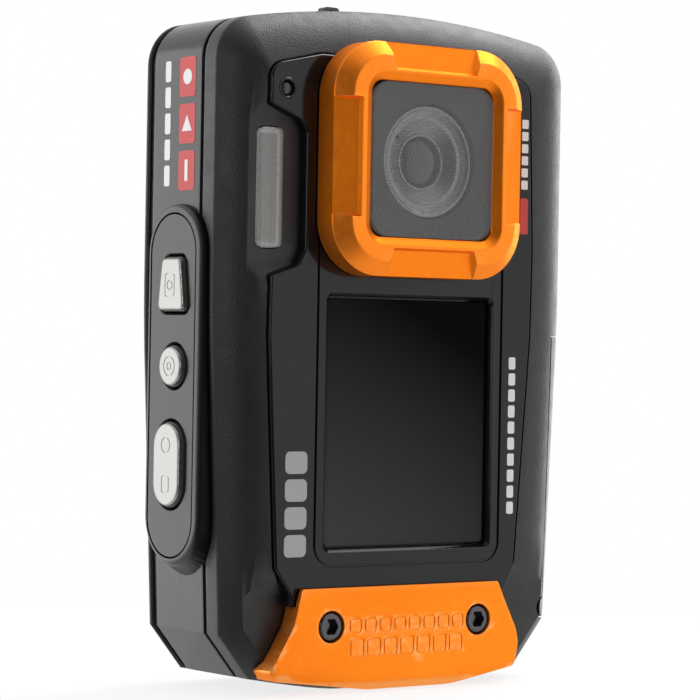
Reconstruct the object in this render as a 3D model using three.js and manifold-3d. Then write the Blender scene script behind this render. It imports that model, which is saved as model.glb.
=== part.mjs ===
// A shockproof, waterproof compact camera with a second screen beside its lens.
// Millimetres. The camera stands on its grip end: +Z runs along its length, -Y is the side
// with the lens and the front screen, and -X is the side with the shutter button.

import * as THREE from 'three';
import { ConvexGeometry } from 'three/addons/geometries/ConvexGeometry.js';
import { mergeVertices } from 'three/addons/utils/BufferGeometryUtils.js';
import Module from 'manifold-3d';

const wasm = await Module();
wasm.setup();

// ---------------------------------------------------------------- driving dimensions

const GAP = 0.3;                 // clearance between neighbouring pieces
const FAR = 60;                  // reaches past any side of the camera
const HIGH = 120;                // reaches past its top

// Outline of the case seen from the front
const HALF_WIDTH = 33.4;
const HEIGHT = 102.7;
const SHOULDER = { z: 99.6, radius: 6.6, rise: 1.0 };
const HIP_Z = 62;                // above it the long sides are straight
const WAIST = { x: 32.9, z: 45.4 };
const FOOT = { x: 31.3, z: 9.1, slip: 0.36 };      // slip keeps the inset sections parallel
const CHAMFER = { x: 25.7, z: 2.3, slip: 0.47 };
const REST_HALF = 9;             // half width of the flat that the camera stands on
const BOTTOM_CONTROL_X = 12.9;
const TIGHTEST_RADIUS = 0.8;     // no section's shoulder is rounder than this

// Depths, from the front screen side to the back
const BEZEL_FRONT = -15.6;
const BEZEL_EDGE = -14.0;
const GLASS_FRONT = -15.2;
const FRONT = -10.0;
const FRONT_SEAM = -1.7;
const REAR_SEAM = 12.4;
const REAR = 15.5;
const RECESS_FLOOR = -8.4;       // floor of the recess that holds the gloss inlay
const FRONT_WALL_BACK = -5;      // behind the front wall of the case
const LCD_WINDOW_FLOOR = 14.3;   // floor of the recess that holds the rear screen's window
const INSIDE = 10;               // a depth inside the rear cover
const WALL = 2.0;

// Soft front edge: how far each section is drawn in, and its depth
const FRONT_PROFILE = [[0.15, -4.5], [0.7, -6.3], [2.2, -8.1], [4.4, -9.4], [7.0, FRONT]];
const FRONT_CAVITY = [[2.0, -4.6], [3.6, -6.6], [7.5, -7.0]];
const REAR_PROFILE = [[0.5, 13.9], [1.5, 15.0], [2.8, REAR]];
const REAR_CAVITY = [[2.4, 13.2], [3.6, 13.9]];

// Lens
const LENS = { x: -0.3, z: 79.8 };
const BEZEL = { width: 36.2, height: 35.0, radius: 8.5, chamfer: 2.4 };
const LENS_GLASS = { size: 23.3, radius: 3.2, thickness: 0.8 };
const BEZEL_LEDGE = -13.3;       // how deep the window's seat is cut into the bezel
const BARREL_RADIUS = 8.4;
const BARREL_ROOM = BARREL_RADIUS + 0.5;
const LENS_MOUNT = { size: 22, radius: 1.5, y0: -6.6, y1: -1.6, pocket: -3.9, bore: 4.5 };
const SENSOR = { halfWidth: 3.85, halfHeight: 3.1, y0: -1.2, y1: -0.4 };
const SENSOR_BOARD = { halfWidth: 12, halfHeight: 10, y0: -0.1, y1: 0.9 };
const MASK_BACK = -13.6;
const NOTCH = { length: 17.5, reach: 4.5, depth: 0.8 };

// Front screen
const FRONT_LCD = { z: 40.4, width: 30.7, height: 37.2, radius: 0.8 };
const SCREEN_WELL = { ...FRONT_LCD, width: FRONT_LCD.width + 2 * GAP, height: FRONT_LCD.height + 2 * GAP };
const FRONT_MODULE = { z: FRONT_LCD.z, width: 34.1, height: 43.0, radius: 0 };

// Flash and lamp
const FLASH = { x: -25.8, z: 74.95, width: 4.4, height: 17.7, radius: 1.2, front: -9.0, back: -8.2 };
const FLASH_ROOM = { ...FLASH, width: FLASH.width + 2 * GAP, height: FLASH.height + 2 * GAP };
const FLASH_SCOOP = { x: -19.9, floor: -8.4, z0: 64.2, z1: 85.0, flare: 4 };
const REFLECTOR = { y0: -7.9, y1: -3.6, trough: 1.6, axis: -6.2, wall: 0.9 };
const FLASH_TUBE = { radius: 1.0, y: -6.4, half: 7.6 };
const LAMP = { x: -23.9, z: 89.55, radius: 0.95 };

// Raised pod with the three buttons on the -X side
const POD = { y0: -4.0, y1: 10.4, z0: 15.7, z1: 72.5, x: -34.6, root: -29.0, edge: 0.9, slope: 2.4 };
const PANEL = { y0: -2.4, y1: 9.35, z0: 20.05, z1: 71.0, inner: -33.0, radius: 5.8 };
const POCKET_X = -30.3;
const BUTTON_TOP = -35.5;
const BUTTON_FLANGE = { outer: -32.7, inner: -32.3, grow: 0.8 };
const BUTTON_ROOM = 0.4;         // clearance round a button in the panel
const MEMBRANE = { x0: -31.75, x1: -31.45 };
const KEY_BOARD = { x0: -31.15, x1: -30.6 };

// Door over the battery, card and socket on the +X side
const DOOR = { x: 29.6, z0: 10.8, z1: 53.7, y1: 10.6 };
const HINGE = { x: 29.8, z: 11.0, y0: -1.2, y1: 9.6, barrel: 1.5, room: 1.9, pin: 0.6, pinReach: 0.6 };
const SEAL = { y0: -4.0, y1: 9.9, z0: 14.2, z1: 53.1, width: 0.8 };
const LATCH = { y0: 1.2, y1: 7.2, z0: 41.5, z1: 48.5, travel: 3.0, floor: 31.9, top: 33.4 };
const LATCH_RIB = { first: -2.0, pitch: 1.3, count: 4, half: 0.25, depth: 0.35 };
const PORT_FRAME = { x0: 27.2, x1: 29.0, y0: -4.4, y1: 10.5, z0: 10.2, z1: 54.0 };

// Battery, card and socket behind the door
const BATTERY = { x0: -17.4, x1: 28.4, y0: -2.75, y1: 3.05, z0: 13.4, z1: 46.6 };
const CARD = { x0: -4.0, x1: 28.2, y0: 7.05, y1: 9.15, z0: 20.5, z1: 44.5 };
const USB = { x0: 21.0, x1: 28.8, y0: -3.7, y1: 4.0, z0: 49.0, z1: 51.8 };
const SLEEVE_END = 26.8;
const SLEEVE_CLEAR = { battery: 0.35, card: 0.3 };
const MAIN_BOARD = { x0: -27, x1: 26, y0: 4.7, y1: 5.7, z0: 12.5, z1: 90 };
const CAPACITOR = { x: -23.6, y: 0.5, radius: 3.6, z0: 61.5, z1: 87.5 };
const SPEAKER = { x: -14, z: 20, radius: 6.5, y0: 6.2, y1: 9.6 };
const MICROPHONE = { x: 21.5, z: 58, radius: 2.0, y0: -6.6, y1: -4.8 };

// Back
const REAR_LCD = { z: 63, width: 45, height: 58, radius: 1.5 };
const REAR_LCD_ROOM = { ...REAR_LCD, width: REAR_LCD.width + 2 * GAP, height: REAR_LCD.height + 2 * GAP };
const REAR_LCD_OPENING = { ...REAR_LCD, width: 42, height: 55 };
const REAR_MODULE = { z: REAR_LCD.z, width: 46, height: 59, radius: 0 };
const REAR_KEY = { top: 16.0, foot: 12.9, flange: 13.5, grow: 0.35, chamfer: 0.3 };
const REAR_KEY_BOARD = { x0: -18, x1: 20, y0: 11.2, y1: 11.9, z0: 6.5, z1: 31 };
const NAV = { x: 8, z: 19.5, inner: 4.8, outer: 9.2, ok: 3.6, halfAngle: 39 };
const ROUND_KEYS = { x: -14, radius: 2.6, menuZ: 26.0, playZ: 13.5 };

// Screws: radii, and depths along Y
const PLATE_SCREWS = [-15.0, 13.1];
const PLATE_PROUD = 1.1;         // how far the end plate's face stands off the case
const PLATE_FOOT = -5.4;         // depth where the plate's skirt ends on the case's side
const FOOT_SCOOP = { inner: 19.2, outer: 30, floor: -7.7, z1: 14.6, flare: 6 };
const PLATE_SCREW = {
  z: 10.1, head: 2.08, counterbore: 2.45, hole: 1.3, shank: 1.0, socket: 1.25,
  top: -11.0, socketFloor: -10.1, seat: -9.6, pocket: -9.3, tip: -6.2,
};
const CASE_SCREWS = [[28.6, 93.4], [-28.6, 93.4], [23.5, 7.6], [-23.5, 7.6]];
const CASE_SCREW = {
  head: 1.5, headRoom: 1.8, shank: 0.8, hole: 1.1, boss: 3.4, slot: 1.1, slotHalf: 0.25,
  bossFoot: 2, holeFoot: 4, tip: 5, seat: 14.2, under: 14.5, slotFloor: 14.7, top: 15.2,
};

// Seal between the band and the rear cover: how far in its edges lie, and its depths
const CASE_SEAL = { outer: 0.8, inner: 1.3, y0: REAR_SEAM - 0.7, y1: REAR_SEAM - 0.1 };
const SEAL_GROOVE = { outer: 0.5, inner: 1.6, y0: REAR_SEAM - 1.0 };

const TRIPOD = { y: 5.35, z: 76, hole: 3.2, outer: 5.0, x0: 27.2, holeEnd: 28.2, room: 30 };
const STRAP_LUG = {
  x: -5.4, y: 5.35, halfX: 1.5, halfY: 0.8, foot: 101.5, top: 104.2, eyeZ: 103.3, eye: 0.5,
};

// ---------------------------------------------------------------- solids from geometries

function toSolid(geometry) {
  const bare = geometry.clone();
  bare.deleteAttribute('normal');
  bare.deleteAttribute('uv');
  const merged = mergeVertices(bare, 1e-4);
  return new wasm.Manifold(new wasm.Mesh({
    numProp: 3,
    vertProperties: new Float32Array(merged.attributes.position.array),
    triVerts: new Uint32Array(merged.index.array),
  }));
}

function toGeometry(solid) {
  const mesh = solid.getMesh();
  const geometry = new THREE.BufferGeometry();
  geometry.setAttribute('position', new THREE.BufferAttribute(mesh.vertProperties, 3));
  geometry.setIndex(new THREE.BufferAttribute(mesh.triVerts, 1));
  geometry.computeVertexNormals();
  return geometry;
}

function cut(solid, ...tools) {
  return tools.reduce((rest, tool) => rest.subtract(tool), solid);
}

function join(solid, ...others) {
  return others.reduce((sum, other) => sum.add(other), solid);
}

function block(x0, x1, y0, y1, z0, z1) {
  const geometry = new THREE.BoxGeometry(x1 - x0, y1 - y0, z1 - z0);
  geometry.translate((x0 + x1) / 2, (y0 + y1) / 2, (z0 + z1) / 2);
  return toSolid(geometry);
}

function solidOf({ x0, x1, y0, y1, z0, z1 }) {
  return block(x0, x1, y0, y1, z0, z1);
}

// Turns a geometry's own X, Y, Z axes onto the camera's axes.
const ON_Y = new THREE.Matrix4().makeBasis(
  new THREE.Vector3(1, 0, 0), new THREE.Vector3(0, 0, 1), new THREE.Vector3(0, -1, 0));
const ON_X = new THREE.Matrix4().makeBasis(
  new THREE.Vector3(0, 1, 0), new THREE.Vector3(0, 0, 1), new THREE.Vector3(1, 0, 0));

// An outline extruded from one depth to another. grow moves the outline outwards.
function extruded(points, length, { grow = 0, chamfer = 0 } = {}) {
  const bevelled = grow !== 0 || chamfer !== 0;
  const end = Math.max(chamfer, 0.05);
  const geometry = new THREE.ExtrudeGeometry(new THREE.Shape(points), {
    depth: bevelled ? length - 2 * end : length,
    bevelEnabled: bevelled,
    bevelThickness: end,
    bevelSize: chamfer,
    bevelOffset: grow - chamfer,
    bevelSegments: 1,
  });
  return bevelled ? geometry.translate(0, 0, end) : geometry;
}

// slabY takes (x, z) points, slabX takes (y, z) points.
function slabY(points, y0, y1, options) {
  const geometry = extruded(points, y1 - y0, options).applyMatrix4(ON_Y);
  return toSolid(geometry.translate(0, y1, 0));
}

function slabX(points, x0, x1, options) {
  const geometry = extruded(points, x1 - x0, options).applyMatrix4(ON_X);
  return toSolid(geometry.translate(x0, 0, 0));
}

function rodY(x, z, radius, y0, y1, sides = 24) {
  const geometry = new THREE.CylinderGeometry(radius, radius, y1 - y0, sides);
  return toSolid(geometry.translate(x, (y0 + y1) / 2, z));
}

function rodX(y, z, radius, x0, x1, sides = 24) {
  const geometry = new THREE.CylinderGeometry(radius, radius, x1 - x0, sides);
  return toSolid(geometry.rotateZ(Math.PI / 2).translate((x0 + x1) / 2, y, z));
}

function rodZ(x, y, radius, z0, z1, sides = 20) {
  const geometry = new THREE.CylinderGeometry(radius, radius, z1 - z0, sides);
  return toSolid(geometry.rotateX(Math.PI / 2).translate(x, y, (z0 + z1) / 2));
}

const postOf = ({ x, y, radius, z0, z1 }) => rodZ(x, y, radius, z0, z1);
const discOf = ({ x, z, radius, y0, y1 }, sides) => rodY(x, z, radius, y0, y1, sides);

// A profile of [radius, y] points turned about the lens axis, or about another axis along Y.
function turnedY(profile, { x, z }, sides = 28) {
  const points = profile.map(([radius, y]) => new THREE.Vector2(radius, y));
  return toSolid(new THREE.LatheGeometry(points, sides).translate(x, 0, z));
}

function hull(points) {
  return toSolid(new ConvexGeometry(points));
}

// ---------------------------------------------------------------- outlines

// Points of the arc that rounds the corner between two edges.
function roundCorner(before, corner, after, radius, steps) {
  const back = before.clone().sub(corner).normalize();
  const ahead = after.clone().sub(corner).normalize();
  const half = Math.acos(back.dot(ahead)) / 2;
  const reach = radius / Math.tan(half);
  const centre = back.clone().add(ahead).setLength(radius / Math.sin(half)).add(corner);
  const start = back.multiplyScalar(reach).add(corner).sub(centre);
  const end = ahead.multiplyScalar(reach).add(corner).sub(centre);
  const sweep = Math.atan2(start.cross(end), start.dot(end));
  const turnBy = (step) => start.clone().rotateAround(new THREE.Vector2(), sweep * step / steps);
  return Array.from({ length: steps + 1 }, (_, step) => turnBy(step).add(centre));
}

// A closed outline from [u, v, radius] corners; a corner without a radius stays sharp.
function outline(corners, steps = 4) {
  const points = corners.map(([u, v]) => new THREE.Vector2(u, v));
  const count = points.length;
  return corners.flatMap(([, , radius], i) => {
    if (!radius) return [points[i]];
    return roundCorner(points[(i + count - 1) % count], points[i], points[(i + 1) % count], radius, steps);
  });
}

function rectangle(u0, u1, v0, v1, radius = 0, steps = 4) {
  return outline([[u0, v0, radius], [u1, v0, radius], [u1, v1, radius], [u0, v1, radius]], steps);
}

function centredRectangle({ x = 0, z, width, height, radius }, steps = 4) {
  return rectangle(x - width / 2, x + width / 2, z - height / 2, z + height / 2, radius, steps);
}

// Outline of the case in (x, z), drawn in by inset.
function bodyOutline(inset) {
  const side = HALF_WIDTH - inset;
  const radius = Math.max(SHOULDER.radius - inset, TIGHTEST_RADIUS);
  const shoulder = new THREE.Vector2(side, SHOULDER.z - inset);
  const beside = new THREE.Vector2(0, HEIGHT + SHOULDER.rise - inset);
  const corner = roundCorner(new THREE.Vector2(side, 0), shoulder, beside, radius, 4);
  const rest = new THREE.Vector2(REST_HALF, inset);
  const control = new THREE.Vector2(BOTTOM_CONTROL_X, inset);
  const chamfer = new THREE.Vector2(CHAMFER.x - CHAMFER.slip * inset, CHAMFER.z + inset);
  const crown = new THREE.Vector2(0, HEIGHT - inset);
  const crownControl = new THREE.Vector2(corner.at(-1).x / 2, HEIGHT - inset);
  const right = [
    ...new THREE.QuadraticBezierCurve(rest, control, chamfer).getPoints(3),
    new THREE.Vector2(FOOT.x - inset, FOOT.z + FOOT.slip * inset),
    new THREE.Vector2(WAIST.x - inset, WAIST.z),
    new THREE.Vector2(side, HIP_Z),
    ...corner,
    ...new THREE.QuadraticBezierCurve(corner.at(-1), crownControl, crown).getPoints(3).slice(1),
  ];
  const left = right.slice(0, -1).map((point) => new THREE.Vector2(-point.x, point.y)).reverse();
  return [...right, ...left];
}

function atDepth(points, y) {
  return points.map((point) => new THREE.Vector3(point.x, y, point.y));
}

// The convex solid from an outline of the case at the seam through the sections of a profile.
function bodySolid(seamY, profile, { grow = 0, seamInset = 0 } = {}) {
  const depthSign = Math.sign(profile[0][1] - seamY);
  const seam = atDepth(bodyOutline(seamInset - grow), seamY);
  const sections = profile.map(([inset, y]) => atDepth(bodyOutline(inset - grow), y + depthSign * grow));
  return hull([seam, ...sections].flat());
}

// The hollow of a case half, which leaves its wall standing.
function cavity(seamY, profile) {
  return bodySolid(seamY, profile, { seamInset: WALL });
}

// Outline of the gloss inlay, with the notch that leaves room for the flash.
const INLAY_OUTLINE = outline([
  [-26.8, 93.0, 2.6], [-26.8, 87.3, 0.5], [-21.2, 85.1, 1.2], [-20.2, 83.4, 2], [-20.2, 66.0, 1.5],
  [-21.5, 63.6, 0.8], [-26.3, 62.0, 0.5], [-26.4, 52.9, 8], [-25.0, 26.4, 8],
  [-24.6, 18.9, 1.5], [-21.9, 15.2, 1], [-21.9, 13.2], [19.1, 13.2], [19.1, 14.1, 1],
  [21.0, 17.5, 2], [23.6, 53.5, 12], [23.8, 67.4, 8], [22.9, 93.2, 2.6], [17.5, 94.9, 4], [-17.5, 95.1, 4],
], 2);

// The orange end plate: narrow beside the screen, flaring to the case's lower corners.
const END_PLATE_OUTLINE = outline([
  [-20.4, 15.85, 0.6], [-21.9, 10.3, 6], [-24.2, 6.6, 4], [-26.0, 3.8, 0.6], [-24.8, 2.4, 0.6], [-8, 0.4, 20],
  [8, 0.4, 20], [20.6, 2.6, 0.8], [21.3, 6.2, 3], [20.8, 8.4, 3], [18.7, 12.4, 8], [17.0, 15.85, 0.6],
], 3);

const SHUTTER_OUTLINE = outline([
  [-0.55, 56.7, 0.9], [6.4, 56.7, 0.9], [5.3, 64.4, 0.9], [0.5, 64.4, 0.9],
], 3);
const MODE_OUTLINE = rectangle(-0.1, 6.8, 27.65, 39.95, 3.4, 5);
const POWER_CENTRE = { y: 2.8, z: 48.4, radius: 2.9 };

const CORNER_SLACK = 0.05;       // keeps a stadium's arcs from meeting in a point

// Outline of the button pod in (y, z): a round head and a tail that starts at tailZ.
function podOutline(inset, tailZ) {
  const { y0, y1, z1 } = POD;
  const radius = (y1 - y0) / 2 - inset - CORNER_SLACK;
  return rectangle(y0 + inset, y1 - inset, tailZ, z1 - inset, radius, 5);
}

function circle(u, v, radius, sides = 24) {
  return new THREE.Path().absarc(u, v, radius, 0, 2 * Math.PI).getSpacedPoints(sides).slice(0, -1);
}

// ---------------------------------------------------------------- materials

function finish(color, roughness, metalness = 0, opacity = 1) {
  const material = new THREE.MeshStandardMaterial({ color, roughness, metalness });
  material.opacity = opacity;
  material.transparent = opacity < 1;
  return material;
}

const GRAIN_BLACK = finish('#17181a', 0.72);
const GLOSS_BLACK = finish('#101113', 0.16);
const BAND_GREY = finish('#3b3b3b', 0.32);
const ORANGE = finish('#f0731a', 0.34, 0.75);
const SILVER = finish('#dcdad4', 0.34, 0.45);
const RUBBER = finish('#0d0d0e', 0.85);
const CLEAR = finish('#dfe6ea', 0.05, 0, 0.35);
const TINTED = finish('#0a0b0d', 0.05, 0, 0.9);
const DARK_METAL = finish('#202226', 0.42, 0.5);
const STEEL = finish('#9da0a4', 0.3, 1);
const BRASS = finish('#b08d3e', 0.35, 1);
const BOARD_GREEN = finish('#1d4a2c', 0.55);
const INNER_PLASTIC = finish('#1c1c1f', 0.6);
const KEY_BLACK = finish('#1f2022', 0.45);
const CELL_GREY = finish('#54585d', 0.5);

// ---------------------------------------------------------------- scene graph

const camera = new THREE.Group();

function add(name, solid, material) {
  const mesh = new THREE.Mesh(toGeometry(solid), material);
  mesh.name = name;
  camera.add(mesh);
}

// ---------------------------------------------------------------- case

const doorCutter = (z0) => block(DOOR.x - GAP, FAR, -FAR, DOOR.y1 + GAP, z0, DOOR.z1 + GAP);

function podSolid(grow = 0) {
  const across = (points, x) => points.map((point) => new THREE.Vector3(x, point.x, point.y));
  return hull([
    ...across(podOutline(-grow, POD.z0 - grow), POD.root),
    ...across(podOutline(-grow, POD.z0 + POD.slope - grow), POD.x + POD.edge),
    ...across(podOutline(POD.edge - grow, POD.z0 + POD.slope + POD.edge - grow), POD.x - grow),
  ]);
}

// The hollow round the flash: a flat floor with ends that slope out to the shell's face.
function flashScoop() {
  const { x, floor, z0, z1, flare } = FLASH_SCOOP;
  const ends = [[floor, 0], [floor - 2, 2 * flare]];
  return hull(ends.flatMap(([y, out]) => [-FAR, x].flatMap((side) => [
    new THREE.Vector3(side, y, z0 - out), new THREE.Vector3(side, y, z1 + out),
  ])));
}

// The lowered corners of the case's foot, beside the end plate. A margin makes them smaller.
function footScoops(margin = 0) {
  const { inner, outer, floor, z1, flare } = FOOT_SCOOP;
  const sections = [[floor - margin, 0], [floor - 3, flare]];
  const corners = sections.flatMap(([y, out]) => [-1, z1 + out - margin].flatMap((z) => [
    new THREE.Vector3(inner + margin, y, z), new THREE.Vector3(outer + out, y, z),
  ]));
  const mirrored = corners.map((corner) => new THREE.Vector3(-corner.x, corner.y, corner.z));
  return [hull(mirrored), hull(corners)];
}

function frontShell() {
  const { z, counterbore, hole, pocket } = PLATE_SCREW;
  return cut(
    bodySolid(FRONT_SEAM - GAP / 2, FRONT_PROFILE),
    flashScoop(),
    ...footScoops(),
    cavity(FRONT_SEAM + 1, FRONT_CAVITY),
    slabY(INLAY_OUTLINE, -FAR, RECESS_FLOOR),
    slabY(centredRectangle(SCREEN_WELL, 2), -FAR, FRONT_WALL_BACK),
    slabY(centredRectangle(FLASH_ROOM, 2), -FAR, FRONT_WALL_BACK),
    rodY(LENS.x, LENS.z, BARREL_ROOM, -FAR, FRONT_WALL_BACK),
    rodY(LAMP.x, LAMP.z, LAMP.radius + GAP, -FAR, FRONT_WALL_BACK, 12),
    podSolid(GAP),
    doorCutter(HINGE.z - HINGE.room),
    rodY(HINGE.x, HINGE.z, HINGE.room, -FAR, FAR, 16),
    ...PLATE_SCREWS.map((x) => rodY(x, z, counterbore, -FAR, pocket, 16)),
    ...PLATE_SCREWS.map((x) => rodY(x, z, hole, -FAR, FRONT_WALL_BACK, 12)),
  );
}

function frontInlay() {
  return cut(
    slabY(INLAY_OUTLINE, FRONT, RECESS_FLOOR - GAP, { grow: -GAP }),
    slabY(centredRectangle(SCREEN_WELL, 2), -FAR, 0),
    rodY(LENS.x, LENS.z, BARREL_ROOM, -FAR, 0),
    rodY(LAMP.x, LAMP.z, LAMP.radius + GAP, -FAR, 0, 12),
  );
}

// A ring that follows the case outline between two insets.
function sealRing(outerInset, innerInset, y0, y1) {
  return cut(slabY(bodyOutline(outerInset), y0, y1), slabY(bodyOutline(innerInset), -FAR, FAR + 1));
}

function strapSlot() {
  const { x, y, halfX, halfY, foot } = STRAP_LUG;
  return block(x - halfX - GAP, x + halfX + GAP, y - halfY - GAP, y + halfY + GAP, foot - GAP, HIGH);
}

// A boss for a case screw, kept inside the outer wall.
function screwBoss([x, z]) {
  const post = rodY(x, z, CASE_SCREW.boss, CASE_SCREW.bossFoot, REAR_SEAM - GAP / 2, 16);
  return post.intersect(slabY(bodyOutline(WALL / 2), -FAR, FAR));
}

function sideBand() {
  const { y0, y1, z0, z1, radius } = PANEL;
  const pocket = rectangle(y0 - GAP, y1 + GAP, z0 - GAP, z1 + GAP, radius + GAP, 5);
  const walls = cut(
    slabY(bodyOutline(0), FRONT_SEAM + GAP / 2, REAR_SEAM - GAP / 2),
    slabY(bodyOutline(WALL), -FAR, FAR),
  );
  return cut(
    join(walls, podSolid(), ...CASE_SCREWS.map(screwBoss)),
    slabX(pocket, -FAR, POCKET_X),
    doorCutter(HINGE.z - HINGE.room),
    rodY(HINGE.x, HINGE.z, HINGE.room, -FAR, DOOR.y1 + GAP, 16),
    rodX(TRIPOD.y, TRIPOD.z, TRIPOD.outer + GAP, TRIPOD.room, FAR),
    strapSlot(),
    sealRing(SEAL_GROOVE.outer, SEAL_GROOVE.inner, SEAL_GROOVE.y0, FAR),
    ...CASE_SCREWS.map(([x, z]) => rodY(x, z, CASE_SCREW.hole, CASE_SCREW.holeFoot, FAR, 12)),
  );
}

function rearCover() {
  const { x, radius, menuZ, playZ } = ROUND_KEYS;
  return cut(
    bodySolid(REAR_SEAM + GAP / 2, REAR_PROFILE),
    cavity(REAR_SEAM - 1, REAR_CAVITY),
    slabY(centredRectangle(REAR_LCD_ROOM, 2), LCD_WINDOW_FLOOR, FAR),
    slabY(centredRectangle(REAR_LCD_OPENING, 2), INSIDE, FAR),
    slabY(circle(NAV.x, NAV.z, NAV.outer + GAP), INSIDE, FAR),
    rodY(x, menuZ, radius + GAP, INSIDE, FAR, 20),
    rodY(x, playZ, radius + GAP, INSIDE, FAR, 20),
    ...CASE_SCREWS.map(([screwX, z]) => rodY(screwX, z, CASE_SCREW.headRoom, CASE_SCREW.seat, FAR, 16)),
    ...CASE_SCREWS.map(([screwX, z]) => rodY(screwX, z, CASE_SCREW.hole, INSIDE, FAR, 12)),
  );
}

function caseScrew([x, z]) {
  const { head, shank, slot, slotHalf, tip, under, slotFloor, top } = CASE_SCREW;
  const slotX = block(x - slot, x + slot, slotFloor, FAR, z - slotHalf, z + slotHalf);
  const slotZ = block(x - slotHalf, x + slotHalf, slotFloor, FAR, z - slot, z + slot);
  const screw = join(rodY(x, z, head, under, top, 16), rodY(x, z, shank, tip, under + 0.1, 12));
  return cut(screw, slotX, slotZ);
}

function addCase() {
  add('front_shell', frontShell(), GRAIN_BLACK);
  add('front_inlay', frontInlay(), GLOSS_BLACK);
  add('side_band', sideBand(), BAND_GREY);
  add('rear_cover', rearCover(), GRAIN_BLACK);
  add('case_seal', sealRing(CASE_SEAL.outer, CASE_SEAL.inner, CASE_SEAL.y0, CASE_SEAL.y1), RUBBER);
  CASE_SCREWS.forEach((place, i) => add(`case_screw_${i + 1}`, caseScrew(place), STEEL));
}

// ---------------------------------------------------------------- lens

function bezelOutline(inset) {
  const width = BEZEL.width - 2 * inset;
  const height = BEZEL.height - 2 * inset;
  return centredRectangle({ ...LENS, width, height, radius: BEZEL.radius - inset }, 5);
}

function lensSquare(size, radius, steps = 3) {
  return centredRectangle({ ...LENS, width: size, height: size, radius }, steps);
}

// The four shallow notches in the front of the bezel, one in the middle of each side.
function bezelNotches() {
  const floor = BEZEL_FRONT + NOTCH.depth;
  const half = NOTCH.length / 2;
  const inX = BEZEL.width / 2 - NOTCH.reach;
  const inZ = BEZEL.height / 2 - NOTCH.reach;
  return [
    block(LENS.x - FAR, LENS.x - inX, -FAR, floor, LENS.z - half, LENS.z + half),
    block(LENS.x + inX, LENS.x + FAR, -FAR, floor, LENS.z - half, LENS.z + half),
    block(LENS.x - half, LENS.x + half, -FAR, floor, LENS.z + inZ, LENS.z + FAR),
    block(LENS.x - half, LENS.x + half, -FAR, floor, LENS.z - FAR, LENS.z - inZ),
  ];
}

function lensBezel() {
  const body = hull([
    ...atDepth(bezelOutline(0), FRONT - GAP),
    ...atDepth(bezelOutline(0), BEZEL_EDGE),
    ...atDepth(bezelOutline(BEZEL.chamfer), BEZEL_FRONT),
  ]);
  return cut(
    body,
    slabY(lensSquare(LENS_GLASS.size + 2 * GAP, LENS_GLASS.radius + GAP), -FAR, BEZEL_LEDGE),
    rodY(LENS.x, LENS.z, BARREL_ROOM + 0.4, -FAR, 0),
    ...bezelNotches(),
  );
}

// Stepped rings that narrow from the mouth of the barrel to the front element.
function lensBarrel() {
  return turnedY([
    [3.8, -4.2], [3.8, -11.7], [4.3, -11.7], [6.1, -12.6], [6.5, -12.75], [6.8, -12.75],
    [7.1, -13.0], [7.4, -13.0], [7.8, -13.4], [BARREL_RADIUS, -13.4], [BARREL_RADIUS, -4.2], [3.8, -4.2],
  ], LENS);
}

function frontElement() {
  const dome = [[0, -12.0], [1.4, -11.9], [2.6, -11.6], [3.45, -11.2]];
  return turnedY([...dome, [3.45, -8.2], [0, -8.2]], LENS, 24);
}

function lensMount() {
  const { size, radius, y0, y1, pocket, bore } = LENS_MOUNT;
  return cut(
    slabY(lensSquare(size, radius, 2), y0, y1),
    rodY(LENS.x, LENS.z, BARREL_RADIUS + GAP, -FAR, pocket),
    rodY(LENS.x, LENS.z, bore, -FAR, 0, 16),
  );
}

// A flat part centred behind the lens.
function behindLens({ halfWidth, halfHeight, y0, y1 }) {
  return block(LENS.x - halfWidth, LENS.x + halfWidth, y0, y1, LENS.z - halfHeight, LENS.z + halfHeight);
}

function addLens() {
  const glassBack = GLASS_FRONT + LENS_GLASS.thickness;
  const square = lensSquare(LENS_GLASS.size, LENS_GLASS.radius);
  const mask = cut(slabY(square, glassBack + GAP, MASK_BACK), rodY(LENS.x, LENS.z, BARREL_ROOM, -FAR, 0));
  add('lens_bezel', lensBezel(), ORANGE);
  add('lens_window', slabY(square, GLASS_FRONT, glassBack), CLEAR);
  add('lens_mask', mask, RUBBER);
  add('lens_barrel', lensBarrel(), DARK_METAL);
  add('lens_front_element', frontElement(), CLEAR);
  add('lens_mount', lensMount(), INNER_PLASTIC);
  add('image_sensor', behindLens(SENSOR), DARK_METAL);
  add('sensor_board', behindLens(SENSOR_BOARD), BOARD_GREEN);
}

// ---------------------------------------------------------------- front screen, flash and lamp

function flashReflector() {
  const { x, z, height } = FLASH;
  const { y0, y1, trough, axis, wall } = REFLECTOR;
  const half = height / 2 - wall;
  return cut(
    slabY(centredRectangle(FLASH, 2), y0, y1),
    rodZ(x, axis, trough, z - half, z + half, 16),
    block(x - trough, x + trough, -FAR, axis, z - half, z + half),
  );
}

function addFrontFittings() {
  const { radius, y, half } = FLASH_TUBE;
  add('front_lcd_window', slabY(centredRectangle(FRONT_LCD, 2), -9.0, -8.1), TINTED);
  add('front_lcd_module', slabY(centredRectangle(FRONT_MODULE), -6.7, -4.3), STEEL);
  add('flash_window', slabY(centredRectangle(FLASH, 3), FLASH.front, FLASH.back), CLEAR);
  add('flash_reflector', flashReflector(), STEEL);
  add('flash_tube', rodZ(FLASH.x, y, radius, FLASH.z - half, FLASH.z + half, 12), CLEAR);
  add('timer_lamp', rodY(LAMP.x, LAMP.z, LAMP.radius, -9.9, -7.3, 12), CLEAR);
}

// ---------------------------------------------------------------- orange end plate

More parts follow.
